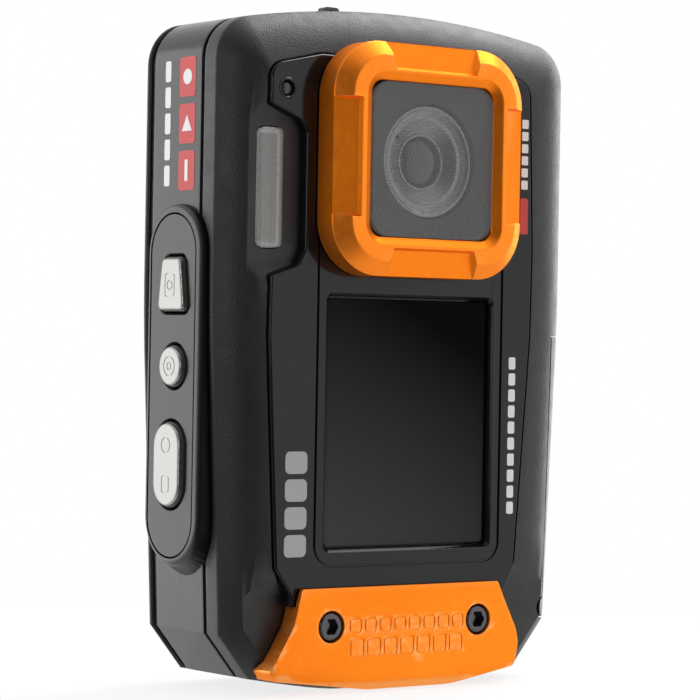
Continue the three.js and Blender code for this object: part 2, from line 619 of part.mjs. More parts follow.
// It lies GAP off the case and is PLATE_PROUD - GAP thick.
function endPlate() {
  const { z, counterbore } = PLATE_SCREW;
  const under = cut(
    bodySolid(FRONT_SEAM + 1, FRONT_PROFILE, { grow: GAP }),
    ...footScoops(GAP).map((scoop) => cut(scoop, slabY(INLAY_OUTLINE, -FAR, 0))),
  );
  const shell = cut(bodySolid(FRONT_SEAM - 1, FRONT_PROFILE, { grow: PLATE_PROUD }), under);
  return cut(
    shell.intersect(slabY(END_PLATE_OUTLINE, -FAR, PLATE_FOOT)),
    ...PLATE_SCREWS.map((x) => rodY(x, z, counterbore, -FAR, 0, 20)),
  );
}

function plateScrew(x) {
  const { z, head, shank, socket, top, socketFloor, seat, tip } = PLATE_SCREW;
  return cut(
    join(rodY(x, z, head, top, seat, 20), rodY(x, z, shank, seat - 0.1, tip, 12)),
    rodY(x, z, socket, -FAR, socketFloor, 6),
  );
}

function addEndPlate() {
  add('end_plate', endPlate(), ORANGE);
  add('end_plate_screw_left', plateScrew(PLATE_SCREWS[0]), DARK_METAL);
  add('end_plate_screw_right', plateScrew(PLATE_SCREWS[1]), DARK_METAL);
}

// ---------------------------------------------------------------- button pod

function podButton(points) {
  const cap = slabX(points, BUTTON_TOP, BUTTON_FLANGE.inner, { chamfer: 0.25 });
  const flange = slabX(points, BUTTON_FLANGE.outer, BUTTON_FLANGE.inner, { grow: BUTTON_FLANGE.grow });
  return join(cap, flange);
}

function podPanel(buttonOutlines) {
  const { y0, y1, z0, z1, inner, radius } = PANEL;
  const holes = buttonOutlines.map((points) => slabX(points, -FAR, 0, { grow: BUTTON_ROOM }));
  return cut(slabX(rectangle(y0, y1, z0, z1, radius, 5), POD.x, inner), ...holes);
}

function addPod() {
  const power = circle(POWER_CENTRE.y, POWER_CENTRE.z, POWER_CENTRE.radius, 20);
  const { y0, y1, z0, z1 } = PANEL;
  const sheet = rectangle(y0 + 0.4, y1 - 0.4, z0 + 0.9, z1 - 0.9, 5.3, 4);
  add('pod_panel', podPanel([SHUTTER_OUTLINE, power, MODE_OUTLINE]), BAND_GREY);
  add('shutter_button', podButton(SHUTTER_OUTLINE), SILVER);
  add('power_button', podButton(power), SILVER);
  add('mode_button', podButton(MODE_OUTLINE), SILVER);
  add('key_membrane', slabX(sheet, MEMBRANE.x0, MEMBRANE.x1), RUBBER);
  add('key_board', slabX(sheet, KEY_BOARD.x0, KEY_BOARD.x1), BOARD_GREEN);
}

// ---------------------------------------------------------------- door on the +X side

// A square ring in the door's (y, z) plane: the seal, or with a margin the groove that holds it.
function sealFrame(x0, x1, margin) {
  const { y0, y1, z0, z1, width } = SEAL;
  const inner = width + margin;
  return cut(
    block(x0, x1, y0 - margin, y1 + margin, z0 - margin, z1 + margin),
    block(0, FAR, y0 + inner, y1 - inner, z0 + inner, z1 - inner),
  );
}

function batteryDoor() {
  const { x, z, y0, y1, barrel, pin } = HINGE;
  const { floor, travel } = LATCH;
  const caseSolid = join(
    bodySolid(FRONT_SEAM, FRONT_PROFILE),
    slabY(bodyOutline(0), FRONT_SEAM - 0.1, DOOR.y1),
  );
  const slab = caseSolid.intersect(block(DOOR.x, FAR, -FAR, DOOR.y1, DOOR.z0, DOOR.z1));
  return cut(
    join(slab, rodY(x, z, barrel, -FAR, y1, 20).intersect(caseSolid)),
    rodY(x, z, pin + GAP, y0 - 1, FAR, 12),
    block(floor, FAR, LATCH.y0 - GAP, LATCH.y1 + GAP, LATCH.z0 - GAP, LATCH.z1 + travel + GAP),
    sealFrame(0, DOOR.x + 0.9, GAP),
  );
}

function doorLatch() {
  const { y0, y1, z0, z1, floor, top } = LATCH;
  const { first, pitch, count, half, depth } = LATCH_RIB;
  const grooves = Array.from({ length: count }, (_, i) => {
    const z = (z0 + z1) / 2 + first + i * pitch;
    return block(top - depth, FAR, y0 - 1, y1 + 1, z - half, z + half);
  });
  return cut(slabX(rectangle(y0, y1, z0, z1, 0.8, 2), floor + GAP, top), ...grooves);
}

// An opening through to +X that leaves a margin round a box.
function opening({ y0, y1, z0, z1 }, margin) {
  return block(0, FAR, y0 - margin, y1 + margin, z0 - margin, z1 + margin);
}

function portFrame() {
  return cut(
    solidOf(PORT_FRAME),
    rodY(HINGE.x, HINGE.z, HINGE.room, -FAR, FAR, 16),
    opening(BATTERY, SLEEVE_CLEAR.battery),
    opening(CARD, SLEEVE_CLEAR.battery),
    opening(USB, GAP),
  );
}

function addDoor() {
  const pinStart = HINGE.y0 - HINGE.pinReach;
  const pinEnd = HINGE.y1 + HINGE.pinReach;
  add('battery_door', batteryDoor(), GRAIN_BLACK);
  add('door_seal', sealFrame(DOOR.x - 0.25, DOOR.x + 0.6, 0), RUBBER);
  add('door_latch', doorLatch(), KEY_BLACK);
  add('door_hinge_pin', rodY(HINGE.x, HINGE.z, HINGE.pin, pinStart, pinEnd, 12), STEEL);
  add('port_frame', portFrame(), INNER_PLASTIC);
}

// ---------------------------------------------------------------- battery, card and boards

// A sleeve open towards +X, with a wall and a clearance round the box it holds.
function sleeve(box, wall, clear, x0) {
  const { y0, y1, z0, z1 } = box;
  const out = wall + clear;
  return cut(
    block(x0, SLEEVE_END, y0 - out, y1 + out, z0 - out, z1 + out),
    block(box.x0 - clear, FAR, y0 - clear, y1 + clear, z0 - clear, z1 + clear),
  );
}

function usbSocket() {
  const { x0, y0, y1, z0, z1 } = USB;
  return cut(solidOf(USB), block(x0 + 1.5, FAR, y0 + 0.4, y1 - 0.4, z0 + 0.4, z1 - 0.4));
}

function addInside() {
  const { battery: batteryClear, card: cardClear } = SLEEVE_CLEAR;
  add('battery', solidOf(BATTERY), CELL_GREY);
  add('battery_holder', sleeve(BATTERY, 0.9, batteryClear, -19.2), INNER_PLASTIC);
  add('memory_card', solidOf(CARD), KEY_BLACK);
  add('card_socket', sleeve(CARD, 0.6, cardClear, -5.2), STEEL);
  add('usb_socket', usbSocket(), STEEL);
  add('main_board', solidOf(MAIN_BOARD), BOARD_GREEN);
  add('flash_capacitor', postOf(CAPACITOR), CELL_GREY);
  add('speaker', discOf(SPEAKER, 20), INNER_PLASTIC);
  add('microphone', discOf(MICROPHONE, 12), STEEL);
}

// ---------------------------------------------------------------- back

function rearKey(points) {
  const { top, foot, flange, grow, chamfer } = REAR_KEY;
  return join(slabY(points, foot, top, { chamfer }), slabY(points, foot, flange, { grow }));
}

// A quarter of the direction ring, centred on a heading from the middle of the pad.
function navQuarter(heading) {
  const { x, z, inner, outer, halfAngle } = NAV;
  const half = THREE.MathUtils.degToRad(halfAngle);
  const from = heading - half;
  const to = heading + half;
  const shape = new THREE.Shape();
  shape.absarc(x, z, outer, from, to, false);
  shape.absarc(x, z, inner, to, from, true);
  return shape.getPoints(5);
}

function addBack() {
  const { x, radius, menuZ, playZ } = ROUND_KEYS;
  const quarter = Math.PI / 2;
  add('rear_lcd_window', slabY(centredRectangle(REAR_LCD, 3), 14.6, 15.35), TINTED);
  add('rear_lcd_module', slabY(centredRectangle(REAR_MODULE), 10.6, 13.5), STEEL);
  add('right_key', rearKey(navQuarter(0)), KEY_BLACK);
  add('up_key', rearKey(navQuarter(quarter)), KEY_BLACK);
  add('left_key', rearKey(navQuarter(2 * quarter)), KEY_BLACK);
  add('down_key', rearKey(navQuarter(3 * quarter)), KEY_BLACK);
  add('ok_key', rearKey(circle(NAV.x, NAV.z, NAV.ok, 20)), KEY_BLACK);
  add('menu_key', rearKey(circle(x, menuZ, radius, 20)), KEY_BLACK);
  add('play_key', rearKey(circle(x, playZ, radius, 20)), KEY_BLACK);
  add('rear_key_board', solidOf(REAR_KEY_BOARD), BOARD_GREEN);
}

// ---------------------------------------------------------------- tripod nut and strap lug

function tripodNut() {
  const { y, z, hole, outer, x0, holeEnd } = TRIPOD;
  return cut(rodX(y, z, outer, x0, HALF_WIDTH - 0.1), rodX(y, z, hole, holeEnd, FAR, 20));
}

function strapLug() {
  const { x, y, halfX, halfY, foot, top, eyeZ, eye } = STRAP_LUG;
  const plate = slabY(rectangle(x - halfX, x + halfX, foot, top, 0.6, 2), y - halfY, y + halfY);
  return cut(plate, rodY(x, eyeZ, eye, -FAR, FAR, 10));
}

addCase();
addLens();
addFrontFittings();
addEndPlate();
addPod();
addDoor();
addInside();
addBack();
add('tripod_nut', tripodNut(), BRASS);
add('strap_lug', strapLug(), STEEL);

export default camera;
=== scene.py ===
import bpy
import bmesh
import math
from contextlib import contextmanager
from mathutils import Matrix, Vector


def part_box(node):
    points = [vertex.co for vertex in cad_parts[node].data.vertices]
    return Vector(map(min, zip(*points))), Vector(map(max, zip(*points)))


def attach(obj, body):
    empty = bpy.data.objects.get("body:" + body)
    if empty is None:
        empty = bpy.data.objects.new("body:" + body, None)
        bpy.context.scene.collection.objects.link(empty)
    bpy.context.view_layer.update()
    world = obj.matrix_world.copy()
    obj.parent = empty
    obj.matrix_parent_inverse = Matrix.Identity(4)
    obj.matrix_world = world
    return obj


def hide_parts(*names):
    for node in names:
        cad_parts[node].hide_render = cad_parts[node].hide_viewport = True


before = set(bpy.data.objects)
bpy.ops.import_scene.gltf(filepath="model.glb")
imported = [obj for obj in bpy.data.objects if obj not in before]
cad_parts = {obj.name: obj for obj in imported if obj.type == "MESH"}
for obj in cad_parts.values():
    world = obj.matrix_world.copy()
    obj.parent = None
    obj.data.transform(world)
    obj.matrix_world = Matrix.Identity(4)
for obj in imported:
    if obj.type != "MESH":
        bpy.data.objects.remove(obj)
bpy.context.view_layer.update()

# The camera stands on its grip end: +Z is its length, -Y the lens side, -X the shutter side.
# Sizes below are in millimetres; MM turns them into the frame's metres.
MM = 0.001
GAP = 0.3
FAR = 60

# ---- driving dimensions

HALF_WIDTH = 33.4
HEIGHT = 102.7
SHOULDER_Z = 99.6
SHOULDER_RADIUS = 6.6
SHOULDER_RISE = 1.0
HIP_Z = 62
WAIST = (32.9, 45.4)
FOOT = (31.3, 9.1)
CHAMFER = (25.7, 2.3)
REST_HALF = 9
BOTTOM_CONTROL_X = 12.9

FRONT = -10.0
SHELL_FRONT = -9.75
FRONT_SEAM = -1.7
REAR_SEAM = 12.4
REAR = 15.5

BARREL_BORE = 8.9
LAMP_BORE = 1.25
SCREEN_WELL = (31.3, 37.8)
SCREEN_WELL_RADIUS = 0.8
EDGE_SLOPE = 0.36                # how fast the foot's corner climbs as the outline is drawn in
CHAMFER_SLOPE = 0.47

# The battery door: where its room and its own skin start, and the pin that it turns on
DOOR_ROOM_X = 29.3
DOOR_X = 29.6
DOOR_ROOM_Z = (9.1, 54.0)
DOOR_Z = (10.8, 53.86)
DOOR_BACK = 10.6
DOOR_ROOM_BACK = 10.9
HINGE = (29.8, 11.0)
HINGE_ROOM = 1.9
KNUCKLE_RADIUS = 1.5

# The four-way key on the back
NAV_ROOM = 9.5
NAV_OUTER = 9.2
NAV_INNER = 4.8
OK_RADIUS = 3.6
ROUND_KEY_ROOM = 2.9
ROUND_KEY_RADIUS = 2.6


def frame_box(node):
    """Lowest and highest corner of a CAD node, in millimetres."""
    low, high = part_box(node)
    return low / MM, high / MM


def middle(node):
    low, high = frame_box(node)
    return (low + high) / 2


LENS = middle("lens_window")
FRONT_LCD = middle("front_lcd_window")
REAR_LCD = middle("rear_lcd_window")
FLASH = middle("flash_window")
LAMP = middle("timer_lamp")


# ---- outlines

def rounded(corners, steps=8):
    """Points of a closed outline from (u, v, radius) corners, each rounded by a true arc."""
    points = [Vector(corner[:2]) for corner in corners]
    result = []
    for i, corner in enumerate(corners):
        radius = corner[2] if len(corner) > 2 else 0
        if radius <= 0:
            result.append(points[i].copy())
            continue
        back = (points[i - 1] - points[i]).normalized()
        ahead = (points[(i + 1) % len(points)] - points[i]).normalized()
        half = math.acos(max(-1, min(1, back.dot(ahead)))) / 2
        centre = points[i] + (back + ahead).normalized() * (radius / math.sin(half))
        reach = radius / math.tan(half)
        start = points[i] + back * reach - centre
        end = points[i] + ahead * reach - centre
        sweep = math.atan2(start.x * end.y - start.y * end.x, start.dot(end))
        for step in range(steps + 1):
            angle = sweep * step / steps
            turned = Vector((start.x * math.cos(angle) - start.y * math.sin(angle),
                             start.x * math.sin(angle) + start.y * math.cos(angle)))
            result.append(centre + turned)
    return result


def rectangle(u0, u1, v0, v1, radius=0, steps=8):
    corners = [(u0, v0, radius), (u1, v0, radius), (u1, v1, radius), (u0, v1, radius)]
    return rounded(corners, steps)


def centred(u, v, width, height, radius=0, steps=8):
    return rectangle(u - width / 2, u + width / 2, v - height / 2, v + height / 2, radius, steps)


def around(u, v, radius, angles):
    """The points of a circle at these angles."""
    return [Vector((u + radius * math.cos(a), v + radius * math.sin(a))) for a in angles]


def circle(u, v, radius, sides=48):
    return around(u, v, radius, [2 * math.pi * i / sides for i in range(sides)])


def quadratic(start, control, end, steps):
    points = []
    for i in range(steps + 1):
        t = i / steps
        points.append(start * (1 - t) ** 2 + control * 2 * t * (1 - t) + end * t * t)
    return points


def offset(points, distance):
    """The outline moved outwards by distance, for outlines that run anticlockwise or clockwise."""
    area = sum(p.x * q.y - q.x * p.y for p, q in zip(points, points[1:] + points[:1]))
    side = 1 if area > 0 else -1
    moved = []
    for i, point in enumerate(points):
        before = (point - points[i - 1]).normalized()
        after = (points[(i + 1) % len(points)] - point).normalized()
        normal = Vector((before.y, -before.x)) + Vector((after.y, -after.x))
        normal.normalize()
        stretch = max(0.5, normal.dot(Vector((after.y, -after.x))))
        moved.append(point + normal * (side * distance / stretch))
    return moved


def body_outline(inset):
    """Outline of the case in (x, z), drawn in by inset."""
    side = HALF_WIDTH - inset
    radius = max(SHOULDER_RADIUS - inset, 0.8)
    shoulder = (side, SHOULDER_Z - inset, radius)
    corner = rounded([(side, 0), shoulder, (0, HEIGHT + SHOULDER_RISE - inset)], 10)[1:-1]
    rest = Vector((REST_HALF, inset))
    control = Vector((BOTTOM_CONTROL_X, inset))
    chamfer = Vector((CHAMFER[0] - CHAMFER_SLOPE * inset, CHAMFER[1] + inset))
    crown = Vector((0, HEIGHT - inset))
    crown_control = Vector((corner[-1].x / 2, HEIGHT - inset))
    foot = Vector((FOOT[0] - inset, FOOT[1] + EDGE_SLOPE * inset))
    waist = Vector((WAIST[0] - inset, WAIST[1]))
    hip = Vector((side, HIP_Z))
    right = quadratic(rest, control, chamfer, 6)
    right += [foot, foot.lerp(waist, 0.33), foot.lerp(waist, 0.66)]
    right += quadratic(waist, Vector((side, 54)), hip, 3)
    right += [hip.lerp(corner[0], 0.33), hip.lerp(corner[0], 0.66)]
    right += corner
    right += quadratic(corner[-1], crown_control, crown, 12)[1:]
    left = [Vector((-p.x, p.y)) for p in right[:-1]]
    return right + left[::-1]


# ---- meshes

def linked(name, data):
    """A new object in the scene."""
    result = bpy.data.objects.new(name, data)
    bpy.context.scene.collection.objects.link(result)
    return result


@contextmanager
def edited(mesh):
    """The mesh as a bmesh, written back at the end."""
    bm = bmesh.new()
    bm.from_mesh(mesh)
    yield bm
    bm.to_mesh(mesh)
    bm.free()


def new_object(name, vertices, faces):
    mesh = bpy.data.meshes.new(name)
    mesh.from_pydata([Vector(v) * MM for v in vertices], [], faces)
    piece = linked(name, mesh)
    with edited(mesh) as bm:
        bmesh.ops.remove_doubles(bm, verts=bm.verts, dist=1e-7)
        bmesh.ops.recalc_face_normals(bm, faces=bm.faces)
    return piece


def at_y(points, y):
    return [(p[0], y, p[1]) for p in points]


def at_x(points, x):
    return [(x, p[0], p[1]) for p in points]


def loft(name, rings, ring_shaped=False):
    """A skin over rings of equal length, closed by caps, or back onto itself if ring_shaped."""
    size = len(rings[0])
    vertices = [v for ring in rings for v in ring]
    faces = []
    last = len(rings) if ring_shaped else len(rings) - 1
    for r in range(last):
        here, there = r * size, (r + 1) % len(rings) * size
        for i in range(size):
            j = (i + 1) % size
            faces.append((here + i, here + j, there + j, there + i))
    if not ring_shaped:
        faces.append(tuple(range(size)))
        faces.append(tuple((len(rings) - 1) * size + i for i in reversed(range(size))))
    return new_object(name, vertices, faces)


def stepped_y(name, outline, steps, ring_shaped=False):
    """A skin over one outline, which each (grow, y) step moves outwards by grow at depth y."""
    return loft(name, [at_y(offset(outline, grow), y) for grow, y in steps], ring_shaped)


def stepped_x(name, outline, steps, ring_shaped=False):
    """The same from (grow, x) steps."""
    return loft(name, [at_x(offset(outline, grow), x) for grow, x in steps], ring_shaped)


def slab_y(name, points, y0, y1):
    return loft(name, [at_y(points, y0), at_y(points, y1)])


def slab_x(name, points, x0, x1):
    return loft(name, [at_x(points, x0), at_x(points, x1)])


def block(name, x0, x1, y0, y1, z0, z1):
    return slab_y(name, rectangle(x0, x1, z0, z1), y0, y1)


def rod_y(name, x, z, radius, y0, y1, sides=48):
    return slab_y(name, circle(x, z, radius, sides), y0, y1)


def turned(name, profile, x, z, sides=96, closed=True):
    """A closed (radius, y) profile turned about an axis along Y."""
    rings = []
    for radius, y in profile:
        rings.append([(x + radius * math.cos(2 * math.pi * i / sides), y,
                       z + radius * math.sin(2 * math.pi * i / sides)) for i in range(sides)])
    return loft(name, rings, ring_shaped=closed)


def apply_modifiers(piece):
    bpy.context.view_layer.update()
    depsgraph = bpy.context.evaluated_depsgraph_get()
    mesh = bpy.data.meshes.new_from_object(piece.evaluated_get(depsgraph))
    piece.modifiers.clear()
    old = piece.data
    piece.data = mesh
    bpy.data.meshes.remove(old)
    return piece


def boolean(piece, tools, operation):
    for tool in tools:
        modifier = piece.modifiers.new("cut", "BOOLEAN")
        modifier.operation = operation
        modifier.solver = "EXACT"
        modifier.object = tool
        apply_modifiers(piece)
        bpy.data.objects.remove(tool)
    return piece


def cut(piece, *tools):
    return boolean(piece, tools, "DIFFERENCE")


def join(piece, *tools):
    return boolean(piece, tools, "UNION")


def common(piece, *tools):
    return boolean(piece, tools, "INTERSECT")


def soften(piece, width, segments=3, angle=30):
    """Rounds the sharp edges of a piece and shades it smooth."""
    with edited(piece.data) as bm:
        bmesh.ops.remove_doubles(bm, verts=bm.verts, dist=2e-6)
        bmesh.ops.dissolve_degenerate(bm, edges=bm.edges, dist=2e-6)
    bevel = piece.modifiers.new("edges", "BEVEL")
    bevel.width = width * MM
    bevel.segments = segments
    bevel.limit_method = "ANGLE"
    bevel.angle_limit = math.radians(angle)
    bevel.use_clamp_overlap = True
    apply_modifiers(piece)
    return smooth(piece)


def smooth(piece, angle=35):
    piece.data.shade_smooth()
    piece.data.set_sharp_from_angle(angle=math.radians(angle))
    weighted = piece.modifiers.new("normals", "WEIGHTED_NORMAL")
    weighted.keep_sharp = True
    return apply_modifiers(piece)


def sliced(piece, pitch):
    """Cuts the faces of a piece along a grid in x and z, so that a broad crowned face shades evenly."""
    corners = [v.co for v in piece.data.vertices]
    spans = [(axis, min(c[axis] for c in corners), max(c[axis] for c in corners)) for axis in (0, 2)]
    with edited(piece.data) as bm:
        for axis, low, high in spans:
            for i in range(1, int((high - low) / (pitch * MM)) + 1):
                point, normal = Vector((0, 0, 0)), Vector((0, 0, 0))
                point[axis] = low + i * pitch * MM
                normal[axis] = 1
                everything = list(bm.verts) + list(bm.edges) + list(bm.faces)
                bmesh.ops.bisect_plane(bm, geom=everything, plane_co=point, plane_no=normal, dist=1e-7)
    return piece


def place(piece, material, body, slot, *nodes):
    """Gives a finished piece its material and the body it rides on, and hides the CAD nodes it stands for."""
    piece.data.materials.clear()
    piece.data.materials.append(material)
    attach(piece, body)
    if nodes:
        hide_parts(*nodes)
    return piece


# ---- materials

class Nodes:
    """Short calls that build one material's node tree."""

    def __init__(self, name):
        self.material = bpy.data.materials.new(name)
        self.material.use_nodes = True
        self.tree = self.material.node_tree
        self.shader = self.tree.nodes["Principled BSDF"]
        self.coordinates = self.add("ShaderNodeTexCoord").outputs["Object"]

    def add(self, kind, **inputs):
        node = self.tree.nodes.new(kind)
        for name, value in inputs.items():
            self.put(node.inputs[name.replace("_", " ")], value)
        return node

    def put(self, socket, value):
        if isinstance(value, bpy.types.NodeSocket):
            self.tree.links.new(value, socket)
        else:
            socket.default_value = value

    def noise(self, scale, detail=3, roughness=0.5, stretch=(1, 1, 1)):
        mapping = self.add("ShaderNodeMapping", Vector=self.coordinates, Scale=stretch)
        node = self.add("ShaderNodeTexNoise", Vector=mapping.outputs[0], Scale=scale,
                        Detail=detail, Roughness=roughness)
        return node.outputs["Fac"]

    def cells(self, scale):
        node = self.add("ShaderNodeTexVoronoi", Vector=self.coordinates, Scale=scale)
        node.feature = "SMOOTH_F1"
        node.inputs["Smoothness"].default_value = 0.6
        return node.outputs["Distance"]

    def ranged(self, value, low, high, new_low, new_high):
        node = self.add("ShaderNodeMapRange")
        self.put(node.inputs["Value"], value)
        limits = {"From Min": low, "From Max": high, "To Min": new_low, "To Max": new_high}
        for name, number in limits.items():
            node.inputs[name].default_value = number
        return node.outputs["Result"]

    def mix(self, factor, first, second):
        node = self.tree.nodes.new("ShaderNodeMix")
        node.data_type = "RGBA"
        self.put(node.inputs["Factor"], factor)
        self.put(node.inputs["A"], first if isinstance(first, bpy.types.NodeSocket) else (*first, 1))
        self.put(node.inputs["B"], second if isinstance(second, bpy.types.NodeSocket) else (*second, 1))
        return node.outputs["Result"]

    def math(self, operation, first, second):
        node = self.tree.nodes.new("ShaderNodeMath")
        node.operation = operation
        self.put(node.inputs[0], first)
        self.put(node.inputs[1], second)
        return node.outputs[0]

    def bump(self, height, distance, strength=1.0, normal=None):
        node = self.add("ShaderNodeBump", Height=height, Distance=distance, Strength=strength)
        if normal is not None:
            self.put(node.inputs["Normal"], normal)
        return node.outputs["Normal"]

    def edges(self, low=0.52, high=0.60):
        pointiness = self.add("ShaderNodeNewGeometry").outputs["Pointiness"]
        return self.ranged(pointiness, low, high, 0, 1)

    def varied(self, low, high, *noise):
        """A value that drifts from low to high, with the noise's scale, detail and roughness."""
        return self.ranged(self.noise(*noise), 0.3, 0.7, low, high)

    def wear_and_edge_highlight(self, colour, light, share, *limits):
        """The colour, with some of a lighter one along the piece's edges: partly edge wear, partly a painted
        highlight on the bevels.
        """
        return self.mix(self.math("MULTIPLY", self.edges(*limits), share), colour, light)

    def finish(self, **sockets):
        for name, value in sockets.items():
            self.put(self.shader.inputs[name.replace("_", " ")], value)
        return self.material


def soft_grain():
    """Soft-touch black plastic with a fine leather grain."""
    n = Nodes("soft_grain_black")
    grain = n.cells(4200)
    fine = n.noise(5200, 4, 0.6)
    colour = n.mix(n.varied(0, 1, 90, 3), (0.0048, 0.0049, 0.0052), (0.0070, 0.0071, 0.0075))
    # Edges lightened: partly wear, partly a painted highlight.
    wear_and_edge_highlight = n.wear_and_edge_highlight(colour, (0.03, 0.03, 0.031), 0.35)
    height = n.math("ADD", n.math("MULTIPLY", grain, 0.7), n.math("MULTIPLY", fine, 0.3))
    rough = n.varied(0.42, 0.52, 400, 3)
    return n.finish(Base_Color=wear_and_edge_highlight, Roughness=rough, Normal=n.bump(height, 0.00007, 0.8),
                    Sheen_Weight=0.10, Sheen_Roughness=0.5)


def polished(name, dark, light, roughness, speckle=0.2, specular=0.5):
    """Moulded plastic: a faint colour drift, hazy patches and the finest orange peel."""
    n = Nodes(name)
    colour = n.mix(n.varied(0, 1, 60, 3), dark, light)
    # Edges lightened: partly wear, partly a painted highlight.
    wear_and_edge_highlight = n.wear_and_edge_highlight(colour, tuple(3 * c + 0.02 for c in light), 0.25)
    rough = n.varied(roughness * 0.85, roughness * 1.25, 350, 4, 0.6)
    peel = n.bump(n.noise(1500, 3), 0.000012, speckle)
    return n.finish(Base_Color=wear_and_edge_highlight, Roughness=rough, Normal=peel, Specular_IOR_Level=specular)


def band_plastic():
    """Semi-gloss black plastic, left matt on the walls that face the lens side, where its colour is also
    darkened as painted shade.
    """
    n = Nodes("semi_gloss_black")
    colour = n.mix(n.varied(0, 1, 60, 3), (0.012, 0.012, 0.0115), (0.017, 0.017, 0.016))
    # Edges lightened: partly wear, partly a painted highlight.
    wear_and_edge_highlight = n.wear_and_edge_highlight(colour, (0.07, 0.07, 0.068), 0.25)
    # Painted shade: the walls that face the lens side get a darker colour, besides a rougher, less specular
    # finish.
    facing = n.add("ShaderNodeSeparateXYZ", Vector=n.add("ShaderNodeNewGeometry").outputs["True Normal"])
    matt_and_shaded = n.ranged(facing.outputs["Y"], -0.85, -0.45, 1, 0)
    painted_shade_colour = n.mix(matt_and_shaded, wear_and_edge_highlight, (0.004, 0.004, 0.004))
    rough = n.math("ADD", n.varied(0.19, 0.27, 350, 4, 0.6), n.math("MULTIPLY", matt_and_shaded, 0.3))
    specular = n.ranged(matt_and_shaded, 0, 1, 0.5, 0.12)
    return n.finish(Base_Color=painted_shade_colour, Roughness=rough, Specular_IOR_Level=specular,
                    Normal=n.bump(n.noise(1500, 3), 0.000012, 0.25))


def orange_metal():
    """Anodised metallic orange: a deep base, a drifting tone, a fine sparkle and a painted highlight that
    lightens its edges.
    """
    n = Nodes("anodised_orange")
    drift = n.varied(0, 1, 45, 2)
    colour = n.mix(drift, (0.96, 0.21, 0.007), (1.0, 0.25, 0.010))
    sparkle = n.math("MULTIPLY", n.ranged(n.noise(2600, 3, 0.7), 0.52, 0.72, 0, 1), 0.35)
    flaked = n.mix(sparkle, colour, (1.0, 0.36, 0.05))
    wear_and_edge_highlight = n.wear_and_edge_highlight(flaked, (1.0, 0.48, 0.16), 0.45, 0.51, 0.58)
    rough = n.varied(0.33, 0.43, 900, 3)
    return n.finish(Base_Color=wear_and_edge_highlight, Metallic=0.75, Roughness=rough, Specular_Tint=(1.0, 0.62, 0.30, 1),
                    Normal=n.bump(n.noise(1800, 2), 0.000006, 0.3))


def brushed(name, colour, roughness, metallic=1.0, stretch=(1, 1, 12), grain=900):
    n = Nodes(name)
    streaks = n.noise(grain, 4, 0.6, stretch)
    tint = n.mix(n.ranged(streaks, 0.3, 0.7, 0, 1), tuple(0.88 * c for c in colour), colour)
    rough = n.ranged(streaks, 0.3, 0.7, roughness * 0.8, roughness * 1.25)
    return n.finish(Base_Color=tint, Metallic=metallic, Roughness=rough,
                    Normal=n.bump(streaks, 0.000004, 0.2))


def clear_glass(name, tint, roughness=0.02, alpha=0.25):
    n = Nodes(name)
    haze = n.varied(roughness * 0.6, roughness * 1.6, 220, 4, 0.6)
    film = n.mix(n.varied(0, 1, 70, 2), tint, tuple(0.92 * c for c in tint))
    return n.finish(Base_Color=film, Roughness=haze, Alpha=alpha, IOR=1.5,
                    Normal=n.bump(n.noise(60, 2), 0.000004, 0.1))


def screen_glass():
    """Dark panel glass with a painted sheen: its colour turns from charcoal at one lower corner to black at
    the far upper one.
    """
    n = Nodes("screen_glass")
    parts = n.add("ShaderNodeSeparateXYZ", Vector=n.coordinates)
    # Painted sheen: a soft gradient of light across the glass, set in its colour.
    sheen_slope = n.math("ADD", n.math("MULTIPLY", parts.outputs["X"], 0.55), parts.outputs["Z"])
    drift = n.math("MULTIPLY", n.noise(35, 2), 0.004)
    share = n.ranged(n.math("ADD", sheen_slope, drift), 0.014, 0.060, 0, 1)
    colour = n.mix(share, (0.066, 0.066, 0.067), (0.0006, 0.0006, 0.0006))
    rough = n.varied(0.035, 0.06, 260, 4, 0.6)
    return n.finish(Base_Color=colour, Roughness=rough, Specular_IOR_Level=0.025,
                    Normal=n.bump(n.noise(200, 2), 0.000003, 0.15))


def rubber():
    n = Nodes("black_rubber")
    colour = n.mix(n.noise(300, 3), (0.008, 0.008, 0.008), (0.016, 0.016, 0.016))
    return n.finish(Base_Color=colour, Roughness=0.8, Normal=n.bump(n.noise(2500, 3), 0.00003, 0.5))


def circuit_board():
    n = Nodes("circuit_board")
    traces = n.ranged(n.cells(650), 0.25, 0.35, 0, 1)
    colour = n.mix(traces, (0.02, 0.11, 0.045), (0.045, 0.19, 0.08))
    return n.finish(Base_Color=colour, Roughness=0.42, Normal=n.bump(traces, 0.00003, 0.4))


def print_ink(name, colour):
    """Screen-printed ink, slightly uneven where it thins out."""
    n = Nodes(name)
    thin = n.ranged(n.noise(2600, 4, 0.7), 0.25, 0.75, 0, 1)
    ink = n.mix(thin, tuple(0.9 * c for c in colour), colour)
    return n.finish(Base_Color=ink, Roughness=0.4, Normal=n.bump(n.noise(3000, 2), 0.00001, 0.3))


def coated_element():
    """Coated lens glass: nearly black, with a faint violet-green bloom."""
    n = Nodes("coated_element")
    bloom = n.mix(n.ranged(n.noise(180, 2), 0.35, 0.65, 0, 1), (0.020, 0.018, 0.026), (0.018, 0.026, 0.024))
    return n.finish(Base_Color=bloom, Roughness=0.03, Coat_Weight=0.6, Coat_Roughness=0.02,
                    Normal=n.bump(n.noise(260, 2), 0.000002, 0.1))


